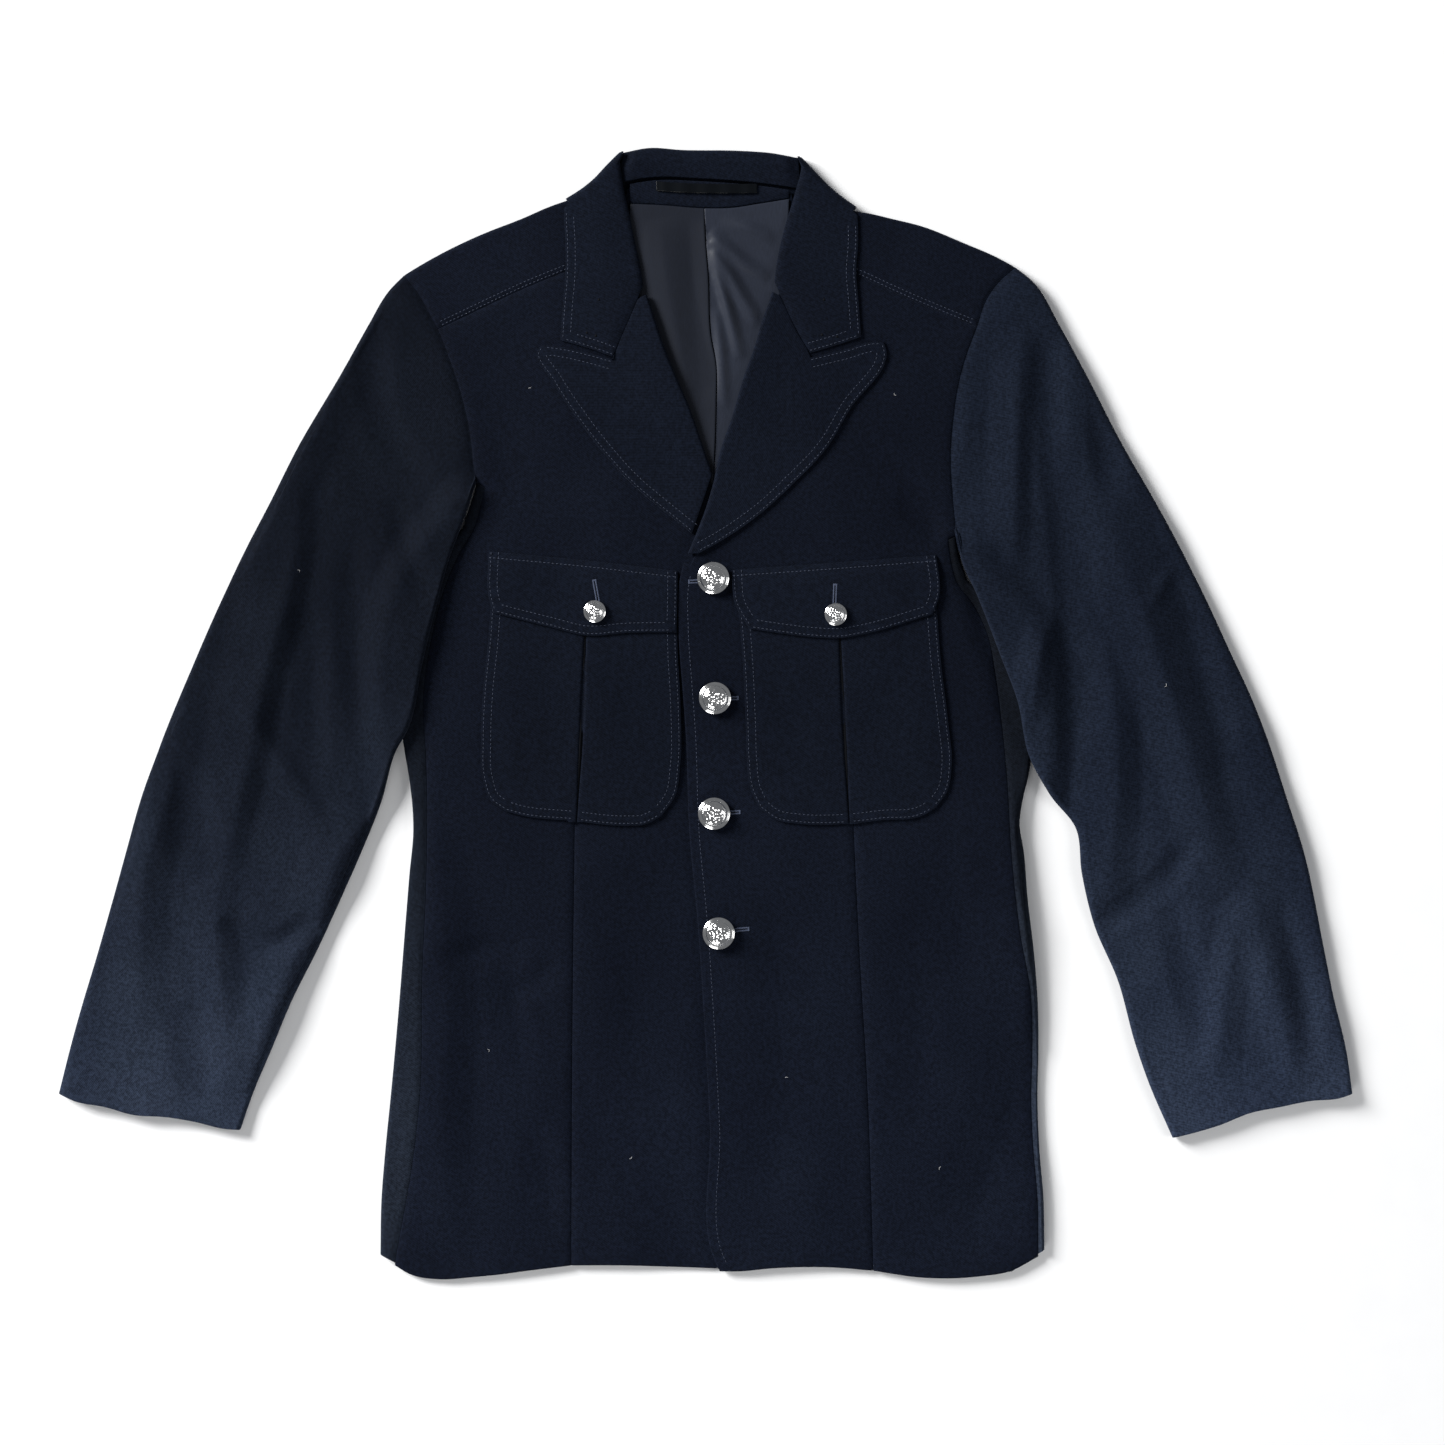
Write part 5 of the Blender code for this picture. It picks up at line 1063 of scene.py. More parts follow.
def lapel_edges(side):
    """The lapel's outer edge above the lap, its roll line, its top and its gorge."""
    curves = PLAN[side]
    roll = curves["roll"]
    roll = roll[(roll[:, 1] > LAPEL_FOOT_Y[side]) & (roll[:, 1] < curves["gorge"][0, 1] - LAPEL_TIP)]
    edge = curves["lapel_edge"]
    edge = edge[edge[:, 1] > LAPEL_FOOT_Y["left"]]
    if side == "right":
        edge = edge[edge[:, 0] < x_at(LAP_LINE, edge[:, 1]) - LAPEL_CLEARANCE]
    head = curves["lapel_top"][::-1]
    gorge = shifted(curves["gorge"][::-1], SIGN[side] * GAP)[1:]
    gorge = np.vstack([gorge[gorge[:, 1] < roll[-1, 1] - YOKE_CORNER], roll[-1:]])
    return edge, roll, head, gorge


FROM_ROLL = {side: away_from(PLAN[side]["roll"]) for side in HALVES}
FROM_GORGE = {side: away_from(PLAN[side]["gorge"]) for side in HALVES}


def lapel_level(side, places):
    """The height of a lapel's upper face, which swells a little beside its roll."""
    near_roll = np.exp(-(FROM_ROLL[side](places) / LAPEL_PUFF_WIDTH) ** 2)
    off_gorge = ease(FROM_GORGE[side](places) / 0.02)
    return front_level(side, places) + LAPEL_RISE + LAPEL_PUFF * near_roll * off_gorge


def build_lapel(side, material):
    """A lapel that lies on its front and rolls over at the roll line into the front's plane."""
    edge, roll, head, gorge = lapel_edges(side)
    foot = np.vstack([edge[-1:], roll[:1]])
    first = np.vstack([head, gorge])
    corner = walked(head)[-1] / walked(first)[-1]
    plan = patch(first, foot, edge, roll[::-1], even(int(walked(edge)[-1] / 0.003)),
                 np.unique(np.concatenate([even(40), [corner]])))

    def high(places):
        return lapel_level(side, places) - 0.5 * seam_fall(FROM_GORGE[side](places))

    def low(places):
        return front_level(side, places) - CLOTH

    shrink = 1.0 - 0.5 * (LAPEL_RISE + CLOTH) / walked(plan[0])[-1]
    fractions = np.unique(np.round(np.concatenate([even(34), [corner / shrink, 0.012]]), 5))
    grid = np.array([wrapped_row(row, high, low, fractions, LAPEL_TURN, 2) for row in plan])
    piece = cloth_wall("cloth_lapel_" + side, grid, COLLAR_CLOTH, material)
    return cut(piece, "lapel_" + side)


def leaf_rows(side, rows):
    """The collar leaf's plan over one front, and its heights."""
    curves = PLAN[side]
    foot = np.vstack([curves["gorge"], curves["leaf_lower"][1:]])
    corner = walked(curves["gorge"])[-1] / walked(foot)[-1]
    columns = leaf_columns()
    usual = COLLAR_CORNER_FRACTION
    foot_columns = np.where(columns <= usual, columns * corner / usual,
                            corner + (columns - usual) * (1.0 - corner) / (1.0 - usual))
    plan = patch(foot, curves["leaf_fold"], curves["leaf_roll"], curves["leaf_outer"], rows,
                 columns, foot_columns)
    bow = LEAF_BOW * np.sin(math.pi * columns)[None] * ease(rows / 0.15)[:, None] \
        * ease((1.0 - rows) / 0.25)[:, None]
    heights = BODY_TOP + LAPEL_RISE - ROLL_DROP * roll_share(columns)[None] + bow
    places = plan.reshape(-1, 2)
    heights -= 0.5 * seam_fall(FROM_GORGE[side](places)).reshape(heights.shape)
    return np.dstack([plan, heights])


def leaf_columns():
    """Fractions across the collar leaf, close together at its roll and with one at the notch."""
    return np.unique(np.concatenate([[0.0, 0.006, 0.012, 0.025, 0.04, 0.065], np.linspace(0.09, 1.0, 27),
                                     [COLLAR_CORNER_FRACTION]]))


def roll_share(columns):
    """How much of the roll's drop a column takes."""
    return np.interp(columns, [0.0, 0.012, 0.04, 0.09], [1.0, 0.55, 0.2, 0.0])


def build_collar_leaf(material):
    """The falling collar: over one front, round both neck folds and under the back."""
    columns = leaf_columns()

    def fold_rows(row):
        way = row[-1, :2] - row[0, :2]
        way /= np.linalg.norm(way)
        inward = np.array([way[1], -way[0]]) if way[0] > 0 else np.array([-way[1], way[0]])
        near_roll = ease(1.0 - columns / 0.25)[:, None]
        inwards = inward * (1.0 - near_roll) + np.array([math.copysign(1.0, inward[0]), 0.1]) * near_roll
        inwards /= np.linalg.norm(inwards, axis=1)[:, None]
        arcs = np.array([fold_arc(point[:2], to, point[2], 0.0) for point, to in zip(row, inwards)])
        return arcs.transpose(1, 0, 2)

    rows = np.append(even(42) * LEAF_TO_FOLD, 1.0)
    right = leaf_rows("right", rows)
    left = leaf_rows("left", rows)
    ways = np.linspace(1.0 - LEAF_TO_FOLD, LEAF_TO_FOLD, 33)
    under = patch(PLAN["right"]["leaf_fold"], PLAN["left"]["leaf_fold"], curve(NECK_TOP),
                  curve(COLLAR_FALL), ways, columns)
    rise = NECK_EDGE_RISE * ease(np.minimum(ways, 1.0 - ways) / 0.2)
    under = np.dstack([under, rise[:, None] * roll_share(columns)[None]])
    sections = np.concatenate([right[:-1], fold_rows(right[-1]), under,
                               fold_rows(left[-1])[::-1], left[:-1][::-1]])
    piece = cloth_wall("cloth_collar_leaf", sections, COLLAR_CLOTH, material)
    return cut(piece, "collar_leaf")


def build_collar_stand(material):
    """The inside band at the back of the neck, from the neck seam up to the roll."""
    rows = [0.0, 0.3, 0.6, 0.87, 0.945, 0.985, 1.0]
    heights = [0.0054, 0.0068, 0.0078, 0.0074, 0.0068, 0.0059, 0.0049]
    fine = even(24)
    plan = between(curve(NECK_SEAM), curve(STAND_TOP), fine, even(60))
    level = np.interp(fine, rows, heights)[:, None] * np.ones(61)[None]
    from_end = np.minimum(even(60), even(60)[::-1])
    level += (STAND_END_LEVEL - level) * ease(1.0 - from_end / STAND_END_SHARE)[None]
    piece = cloth_wall("cloth_collar_stand", np.dstack([plan, level]), COLLAR_CLOTH, material)
    return cut(piece, "collar_stand")


def lining_top(places):
    """The height of the upper face of the lining and the facing."""
    return CLOTH + GAP + LINING_CLOTH + collar_lift(places)


def build_lining(side, material):
    """One half of the satin lining, with folds that spread from the pleat."""
    pleat = curve(LINING_PLEAT)
    head = curve(LINING_TOP)
    if side == "right":
        head = head[head[:, 0] < pleat[0, 0] - 0.0005]
        edge = curve(LINING_RIGHT_EDGE)
        lines = [edge, shifted(pleat[::-1], 0.5 * GAP), head[::-1]]
    else:
        head = head[head[:, 0] > pleat[0, 0] + 0.0005]
        edge = curve(LINING_LEFT_EDGE)
        lines = [shifted(pleat, 0.5 * GAP), edge[::-1], head[::-1]]

    from_edges = away_from(edge, head)
    from_pleat = away_from(pleat)

    def top(places):
        ramp = ease((from_edges(places) - 0.003) / LINING_EDGE_RAMP)
        folds = fold_relief(places, LINING_FOLDS[side]) * sizes().fold_strength
        if side == "right":
            folds += 0.001 * np.exp(-from_pleat(places) / 0.008)
        return lining_top(places) + ramp * folds

    piece = cloth_sheet("satin_lining_" + side, lines, top, LINING_CLOTH, material, cell=0.0022)
    return cut(piece, "lining_" + side)


def build_facing(material):
    """The cloth strip between the neck seam and the lining."""
    foot, upper = curve(FACING_FOOT), curve(FACING_TOP)
    lines = [foot, np.vstack([foot[-1:], upper[-1:]]), upper[::-1], np.vstack([upper[:1], foot[:1]])]
    piece = cloth_sheet("cloth_neck_facing", lines, lining_top, LINING_CLOTH, material,
                        sewn=[foot], cell=0.003)
    return cut(piece, "neck_facing")


def build_loop(material):
    """The satin hanger loop, which bows a little off the facing between its sewn ends."""
    columns = even(60)
    plan = between(curve(LOOP_FOOT), curve(LOOP_TOP), even(8), columns)
    bow = 0.0009 * np.sin(math.pi * columns) ** 0.5 + 0.0003 * np.sin(9 * math.pi * columns)
    ends = ease(np.minimum(columns, 1.0 - columns) / 0.1)
    base = lining_top(plan.reshape(-1, 2)).reshape(plan.shape[:2]) + GAP
    piece = laid_sheet("satin_hanger_loop", plan, base + (bow * ends)[None] + TAPE, TAPE, material)
    return cut(piece, "hanger_loop")


def pocket_level(side, places):
    """The height of a pocket's upper face."""
    return front_level(side, places) + GAP + CLOTH


def build_pocket(side, material):
    """A patch pocket whose folded pleat edges meet down its middle."""
    curves = POCKET[side]
    pleat = curves["pleat"][::-1]
    rows, beside = even(60), even(26)
    plan = patch(curves["top"], curves["bottom"], curves["left"], curves["right"], rows, even(60))
    opening = np.interp(rows, *np.array(PLEAT_OPENING).T)
    beyond, sunk = np.array(PLEAT_FOLDS).T
    flat = np.zeros(len(beside))
    depth = PLEAT_DEPTH * np.concatenate([flat, sunk, [1.0, 1.0], sunk[::-1], flat])
    grid = []
    for row, half in zip(plan, opening):
        y = row[30, 1]
        centre = float(x_at(pleat, y))
        low, high = centre - PLEAT_REACH, centre + PLEAT_REACH
        across = np.concatenate([-half - beyond, [-0.6 * half, 0.6 * half], (half + beyond)[::-1]])
        grid.append(np.vstack([along(np.vstack([row[row[:, 0] < low], [[low, y]]]), beside),
                               np.column_stack([centre + across, np.full(len(across), y)]),
                               along(np.vstack([[[high, y]], row[row[:, 0] > high]]), beside)]))
    plan = np.array(grid)
    level = pocket_level(side, plan.reshape(-1, 2)).reshape(plan.shape[:2])
    piece = upright_wall("cloth_pocket_" + side, np.dstack([plan, level - depth]),
                         np.dstack([plan, level - CLOTH]), material)
    return cut(piece, "pocket_" + side)


def pleat_opening(side):
    """The outline of a dark sheet of painted shade lying between the folded edges of a pocket's pleat."""
    shares = np.linspace(0.02, 0.98, 40)
    line = along(POCKET[side]["pleat"], shares)
    half = 0.9 * np.interp(shares, *np.array(PLEAT_OPENING).T)
    level = pocket_level(side, line) - PLEAT_DEPTH + 0.0001
    left = np.column_stack([line[:, 0] - half, line[:, 1], level])
    right = np.column_stack([line[:, 0] + half, line[:, 1], level])
    return np.vstack([left, right[::-1]])


def flap_level(side, places, shares):
    """The height of a flap's upper face; shares is how far each place is down the flap."""
    climb = (CLOTH + GAP) * (1.0 + ease(shares / FLAP_CLIMB))
    return front_level(side, places) + climb


def flap_shares(side, places):
    """How far each place is down the flap, from 0 at its sewn top to 1 at its lower edge."""
    above, below = (np.interp(places[:, 0], line[:, 0], line[:, 1])
                    for line in (FLAP[side]["top"], FLAP[side]["bottom"]))
    return np.clip((above - places[:, 1]) / np.maximum(above - below, 1e-4), 0.0, 1.0)


def build_flap(side, material):
    """A pointed pocket flap: sewn to the front at its top and lying on the pocket below."""
    curves = FLAP[side]
    rows = with_seam_rows(even(22), 0.045)
    plan = patch(curves["top"], curves["bottom"], curves["left"], curves["right"], rows, even(56))
    places = plan.reshape(-1, 2)
    shares = np.repeat(rows, plan.shape[1])
    level = flap_level(side, places, shares) - seam_fall(away_from(curves["top"])(places))
    piece = laid_sheet("cloth_flap_" + side, plan, level, CLOTH, material)
    return cut(piece, "flap_" + side)


def button_face(share, turn):
    """The stamped pattern of a button: petals round a boss inside a beaded ring, with a raised rim."""
    petals = 0.5 + 0.5 * math.cos(8 * turn)
    leaves = 0.5 + 0.5 * math.cos(8 * turn + math.pi)
    boss = BUTTON_BOSS * math.exp(-(share / 0.11) ** 4)
    inner = 0.0005 * petals * math.exp(-((share - 0.3) / 0.13) ** 4)
    outer = 0.00038 * leaves * math.exp(-((share - 0.52) / 0.09) ** 4)
    beads = 0.0003 * (0.55 + 0.45 * math.cos(40 * turn)) * math.exp(-((share - 0.7) / 0.035) ** 2)
    rim = 0.0003 * math.exp(-((share - 0.9) / 0.03) ** 2)
    return boss + inner + outer + beads + rim


def build_button(name, node, x, y, z, radius, tilt, spin, material):
    """A domed, stamped metal button on its shank."""
    scale = radius / BUTTON_RADIUS
    shares, heights = np.array(BUTTON_DOME).T
    rings = BUTTON_BACK + [(share, float(np.interp(share, shares, heights)))
                           for share in np.linspace(shares[-1], 0.02, BUTTON_RINGS)]
    points = []
    for index, (share, height) in enumerate(rings):
        stamped = index > len(BUTTON_BACK)
        for turn in 2.0 * math.pi * np.arange(BUTTON_POINTS) / BUTTON_POINTS:
            level = height + (button_face(share, turn + spin) if stamped else 0.0)
            points.append((share * radius * math.cos(turn), share * radius * math.sin(turn),
                           level * scale))
    last = (len(rings) - 1) * BUTTON_POINTS
    faces = [tuple(reversed(range(BUTTON_POINTS)))]
    for number in range(BUTTON_POINTS):
        after = (number + 1) % BUTTON_POINTS
        for low in range(0, last, BUTTON_POINTS):
            high = low + BUTTON_POINTS
            faces.append((low + number, low + after, high + after, high + number))
        faces.append((last + number, last + after, len(points)))
    points.append((0.0, 0.0, (heights[0] + BUTTON_BOSS) * scale))
    lean = Euler((math.radians(tilt[0]), math.radians(tilt[1]), 0.0)).to_matrix()
    places = np.array(points) @ np.array(lean).T + np.array([x, y, z])
    piece = add_mesh(name, places, faces, material, rounded=False)
    return dress(piece, node)


THREAD_SIDES = 5
THREAD_STATIONS = [(-0.5, 0.35, -1.3), (-0.32, 0.95, 0.25), (0.0, 1.0, 0.45), (0.32, 0.95, 0.25),
                   (0.5, 0.35, -1.3)]


def ring(centre, across, radius, sides):
    """Points round a centre, in the plane of a level direction and the vertical."""
    turns = [2.0 * math.pi * number / sides for number in range(sides)]
    return [centre + radius * (across * math.cos(turn) + np.array([0.0, 0.0, math.sin(turn)]))
            for turn in turns]


def tube_faces(first, stations, sides):
    """The faces of a closed tube whose rings of points follow each other."""
    last = first + (stations - 1) * sides
    faces = []
    for low in range(first, last, sides):
        for number in range(sides):
            after = (number + 1) % sides
            faces.append((low + number, low + sides + number, low + sides + after, low + after))
    return faces + [tuple(range(first, first + sides)), tuple(reversed(range(last, last + sides)))]


class Threads:
    """Collects short thread stitches into one mesh."""

    def __init__(self):
        self.points = []
        self.faces = []

    def stitch(self, middle, way, length, radius):
        """One stitch along a unit way, sunk into the cloth at both ends."""
        across = np.array([-way[1], way[0], 0.0])
        across /= np.linalg.norm(across)
        self.faces += tube_faces(len(self.points), len(THREAD_STATIONS), THREAD_SIDES)
        for share, thickness, height in THREAD_STATIONS:
            centre = middle + way * length * share + np.array([0.0, 0.0, radius * height])
            self.points += ring(centre, across, radius * thickness, THREAD_SIDES)

    def row(self, line, height):
        """A row of stitches along a plan line, on the surface that a height function gives."""
        pitch = sizes().stitch_pitch
        length = walked(line)[-1]
        count = int(length / pitch)
        if count < 1:
            return
        middles = (np.arange(count) + 0.5) * pitch / length
        half = 0.5 * sizes().stitch_length / length
        ends = [along(line, middles - half), along(line, middles + half)]
        starts, stops = (np.column_stack([places, height(places)]) for places in ends)
        for start, stop in zip(starts, stops):
            span = np.linalg.norm(stop - start)
            if span > 1e-6:
                self.stitch(0.5 * (start + stop), (stop - start) / span, span, sizes().thread_radius)

    def finished(self, name, material):
        """The collected stitches as one piece."""
        piece = add_mesh(name, self.points, self.faces, material, rounded=False)
        return dress(piece, None)


def inset_rows(edges, inner_point, distances):
    """Lines that run inside free edges at the given distances, cut where they cross each other."""
    rows = []
    for distance in distances:
        for edge in edges:
            choices = [shifted(edge, way * distance) for way in (-1.0, 1.0)]
            inner = min(choices, key=lambda line: np.linalg.norm(line[len(line) // 2] - inner_point))
            kept = inner[away_from(*edges)(inner) > distance - 0.0003]
            if len(kept) > 2:
                rows.append(kept)
    return rows


def topstitch(threads, edges, centre, height):
    """Two rows of stitches inside free edges."""
    for row in inset_rows(edges, centre, stitch_distances()):
        threads.row(row, height)


def sew_lapel(side, thread):
    """Two rows of topstitching inside the lapel's free edges."""
    edge, roll, head, _ = lapel_edges(side)
    centre = 0.5 * (edge[len(edge) // 2] + roll[len(roll) // 2])
    threads = Threads()
    topstitch(threads, [head[::-1], edge], centre, lambda places: lapel_level(side, places))
    threads.finished("stitching_lapel_" + side, thread)


def leaf_height(side):
    """A function that gives the height of the collar leaf's upper face."""
    grid = leaf_rows(side, even(80)).reshape(-1, 3)
    tree = nearest(grid)
    return lambda places: np.array([grid[tree.find((x, y, 0.0))[1], 2] for x, y in places])


def sew_collar(side, thread):
    """Two rows of topstitching inside the collar leaf's free edges."""
    curves = PLAN[side]
    edges = [curves["leaf_lower"], curves["leaf_outer"][:-6]]
    threads = Threads()
    topstitch(threads, edges, curves["leaf_roll"][len(curves["leaf_roll"]) // 2], leaf_height(side))
    threads.finished("stitching_collar_" + side, thread)


def stitch_distances():
    """How far the two rows of topstitching run from an edge."""
    return (sizes().edge_row, sizes().inner_row)


def sew_pocket(side, thread):
    """Two rows of topstitching round the pocket and round its flap."""
    pocket, flap = POCKET[side], FLAP[side]
    pleat = pocket["pleat"]
    threads = Threads()
    edges = [pocket["left"], pocket["bottom"], pocket["right"]]
    for row in inset_rows(edges, pleat[len(pleat) // 2], stitch_distances()):
        clear = np.abs(row[:, 0] - x_at(pleat[::-1], row[:, 1])) > PLEAT_CLEARANCE
        for part in parts_of(row, clear):
            threads.row(part, lambda places: pocket_level(side, places))

    def height(places):
        return flap_level(side, places, flap_shares(side, places))

    topstitch(threads, [flap["left"], flap["bottom"], flap["right"]],
              np.array(HALVES[side]["flap"]["button"]), height)
    threads.row(shifted(flap["top"], -FLAP_TOP_ROW), height)
    threads.finished("stitching_pocket_" + side, thread)


def parts_of(line, kept):
    """The stretches of a line whose points are kept."""
    parts = []
    start = None
    for index, keep in enumerate(list(kept) + [False]):
        if keep and start is None:
            start = index
        elif not keep and start is not None:
            if index - start > 2:
                parts.append(line[start:index])
            start = None
    return parts


def sew_body(thread):
    """The rows along the front edge and beside the yoke seams."""
    threads = Threads()
    row = shifted(PLAN["left"]["edge"], -sizes().inner_row)
    low, high = FRONT_ROW_ENDS
    row = row[(row[:, 1] > low) & (row[:, 1] < high)]
    threads.row(row, lambda places: front_level("left", places))
    for side in HALVES:
        seam = yoke_curves(side)[2]
        from_seam = away_from(seam)
        for distance in YOKE_ROWS:
            row = shifted(seam, -SIGN[side] * distance)
            threads.row(row[2:-8], lambda places: front_level(side, places)
                        - seam_fall(from_seam(places)))
    threads.finished("stitching_front_edge_and_yokes", thread)


def sew_buttonhole(threads, slits, x, y, length, angle, height):
    """A worked buttonhole: close bars on both sides of a slit and a bar across each end."""
    middle = np.array([x, y])
    way = np.array([math.cos(math.radians(angle)), math.sin(math.radians(angle))])
    across = np.array([-way[1], way[0]])
    bars = [(way * place + across * row, across, 0.0013, 0.0001)
            for row in (-BAR_ROW, BAR_ROW) for place in np.arange(-0.5 * length, 0.5 * length, BAR_PITCH)]
    bars += [(way * (end * length) + across * place, way, 0.0016, 0.00015)
             for end in (-0.5, 0.5) for place in np.linspace(-0.0013, 0.0013, 7)]
    for offset, direction, reach, lift in bars:
        centre = middle + offset
        level = float(height(centre[None])[0]) + lift
        threads.stitch(np.array([*centre, level]), np.array([*direction, 0.0]), reach, BAR_RADIUS)
    # The slit is a dark sheet on the cloth: painted shade for its opening.
    turns = np.linspace(0.0, 2.0 * math.pi, 25)[:-1, None]
    rim = middle + way * np.cos(turns) * 0.47 * length + across * np.sin(turns) * SLIT_HALF_WIDTH
    slits.append(np.column_stack([rim, height(rim) + SLIT_LIFT]))


def build_slits(name, outlines, material):
    """Thin dark sheets lying in the cloth's surface: painted shade for openings."""
    points, faces = [], []
    for outline in outlines:
        faces += tube_faces(len(points), 2, len(outline))
        points += [*outline, *(outline - np.array([0.0, 0.0, SLIT_THICKNESS]))]
    piece = add_mesh(name, points, faces, material, rounded=False)
    return dress(piece, None)


def pin_hole(x, y, height):
    """The outline of a small ragged hole left by a badge pin, which a dark sheet of painted shade fills."""
    turns = 2.0 * math.pi * np.arange(14) / 14
    reach = PIN_HOLE_RADIUS * (1.0 + 0.22 * np.sin(3 * turns + 40 * x) + 0.12 * np.sin(5 * turns))
    rim = np.array([x, y]) + np.column_stack([np.cos(turns), np.sin(turns)]) * reach[:, None]
    return np.column_stack([rim, height(rim) + SLIT_LIFT])


def build_lint(material):
    """A few white fibres on the cloth."""
    points, faces = [], []
    shares = even(LINT_STEPS)
    for x, y, angle, length, bend in LINT:
        side = "right" if x < 0 else "left"
        turns = math.radians(angle) + bend * (shares - 0.5) * 4.0
        ways = np.column_stack([np.cos(turns), np.sin(turns)])
        places = np.array([x, y]) + ((shares - 0.5) * length)[:, None] * ways
        level = front_level(side, places)
        if abs(x) > SLEEVE_FROM_X:
            level = SLEEVE_HEIGHT + sleeve_folds(side, places)
        faces += tube_faces(len(points), len(shares), THREAD_SIDES)
        for place, height, way in zip(places, level, ways):
            centre = np.array([*place, height + 0.00015])
            points += ring(centre, np.array([-way[1], way[0], 0.0]), LINT_RADIUS, THREAD_SIDES)
    piece = add_mesh("white_lint", points, faces, material, rounded=False)
    return dress(piece, None)


class Nodes:
    """Builds a material's nodes by short calls."""

    def __init__(self, name):
        self.material = bpy.data.materials.new(name)
        self.material.use_nodes = True
        self.tree = self.material.node_tree
        self.shader = self.tree.nodes["Principled BSDF"]
        self.coordinates = self.add("ShaderNodeTexCoord").outputs["Object"]

    def add(self, kind, **values):
        """A node with values on its sockets or, where it has no such socket, on itself."""
        node = self.tree.nodes.new(kind)
        for key, value in values.items():
            if key in node.inputs:
                node.inputs[key].default_value = value
            else:
                setattr(node, key, value)
        return node

    def link(self, start, end):
        """Join an output to an input."""
        self.tree.links.new(start, end)

    def mapped(self, turn, stretch):
        """Object coordinates, turned about Z and stretched."""
        node = self.add("ShaderNodeMapping")
        node.inputs["Rotation"].default_value = (0.0, 0.0, math.radians(turn))
        node.inputs["Scale"].default_value = stretch
        self.link(self.coordinates, node.inputs["Vector"])
        return node.outputs["Vector"]

    def noise(self, place, scale, detail=2.0, roughness=0.5):
        """A noise pattern's value."""
        node = self.add("ShaderNodeTexNoise", Scale=scale, Detail=detail, Roughness=roughness)
        self.link(place, node.inputs["Vector"])
        return node.outputs["Fac"]

    def ribs(self, place, scale, distortion):
        """Fine parallel ribs."""
        node = self.add("ShaderNodeTexWave", Scale=scale, Distortion=distortion, Detail=2.0)
        node.inputs["Detail Scale"].default_value = 1.6
        self.link(place, node.inputs["Vector"])
        return node.outputs["Fac"]

    def ramp(self, value, low, high, dark, light):
        """Two colours that blend as a value rises."""
        node = self.add("ShaderNodeValToRGB")
        node.color_ramp.elements[0].position = low
        node.color_ramp.elements[1].position = high
        node.color_ramp.elements[0].color = (*dark, 1.0)
        node.color_ramp.elements[1].color = (*light, 1.0)
        self.link(value, node.inputs["Fac"])
        return node.outputs["Color"]

    def mix(self, factor, first, second, blend="MIX"):
        """Two colours mixed by a number or a value."""
        node = self.add("ShaderNodeMix", data_type="RGBA", blend_type=blend)
        if isinstance(factor, float):
            node.inputs["Factor"].default_value = factor
        else:
            self.link(factor, node.inputs["Factor"])
        self.link(first, node.inputs[6])
        self.link(second, node.inputs[7])
        return node.outputs[2]

    def maths(self, operation, first, second):
        """A sum or product of two values, either of which may be a number."""
        node = self.add("ShaderNodeMath", operation=operation)
        for socket, value in zip(node.inputs, (first, second)):
            if isinstance(value, (int, float)):
                socket.default_value = value
            else:
                self.link(value, socket)
        return node.outputs[0]

    def bump(self, height, distance, strength=1.0):
        """Let a value raise the surface's shading."""
        node = self.add("ShaderNodeBump", Strength=strength, Distance=distance)
        self.link(height, node.inputs["Height"])
        self.link(node.outputs["Normal"], self.shader.inputs["Normal"])

    def feed(self, value, socket):
        """Let a value drive one of the shader's sockets."""
        self.link(value, self.shader.inputs[socket])

    def surface(self, **values):
        """Constants on the shader's own sockets."""
        for key, value in values.items():
            self.shader.inputs[key.replace("_", " ")].default_value = value


def scaled(colour, factor):
    """A colour made darker or lighter."""
    return tuple(min(1.0, part * factor) for part in colour)


# Painted light: how a lightening painted into the colour runs along Y, from 0 at the shoulders to 1 at the
# cuffs
PAINTED_LIGHT_SLOPE = 1.8
PAINTED_LIGHT_MIDDLE = 0.46


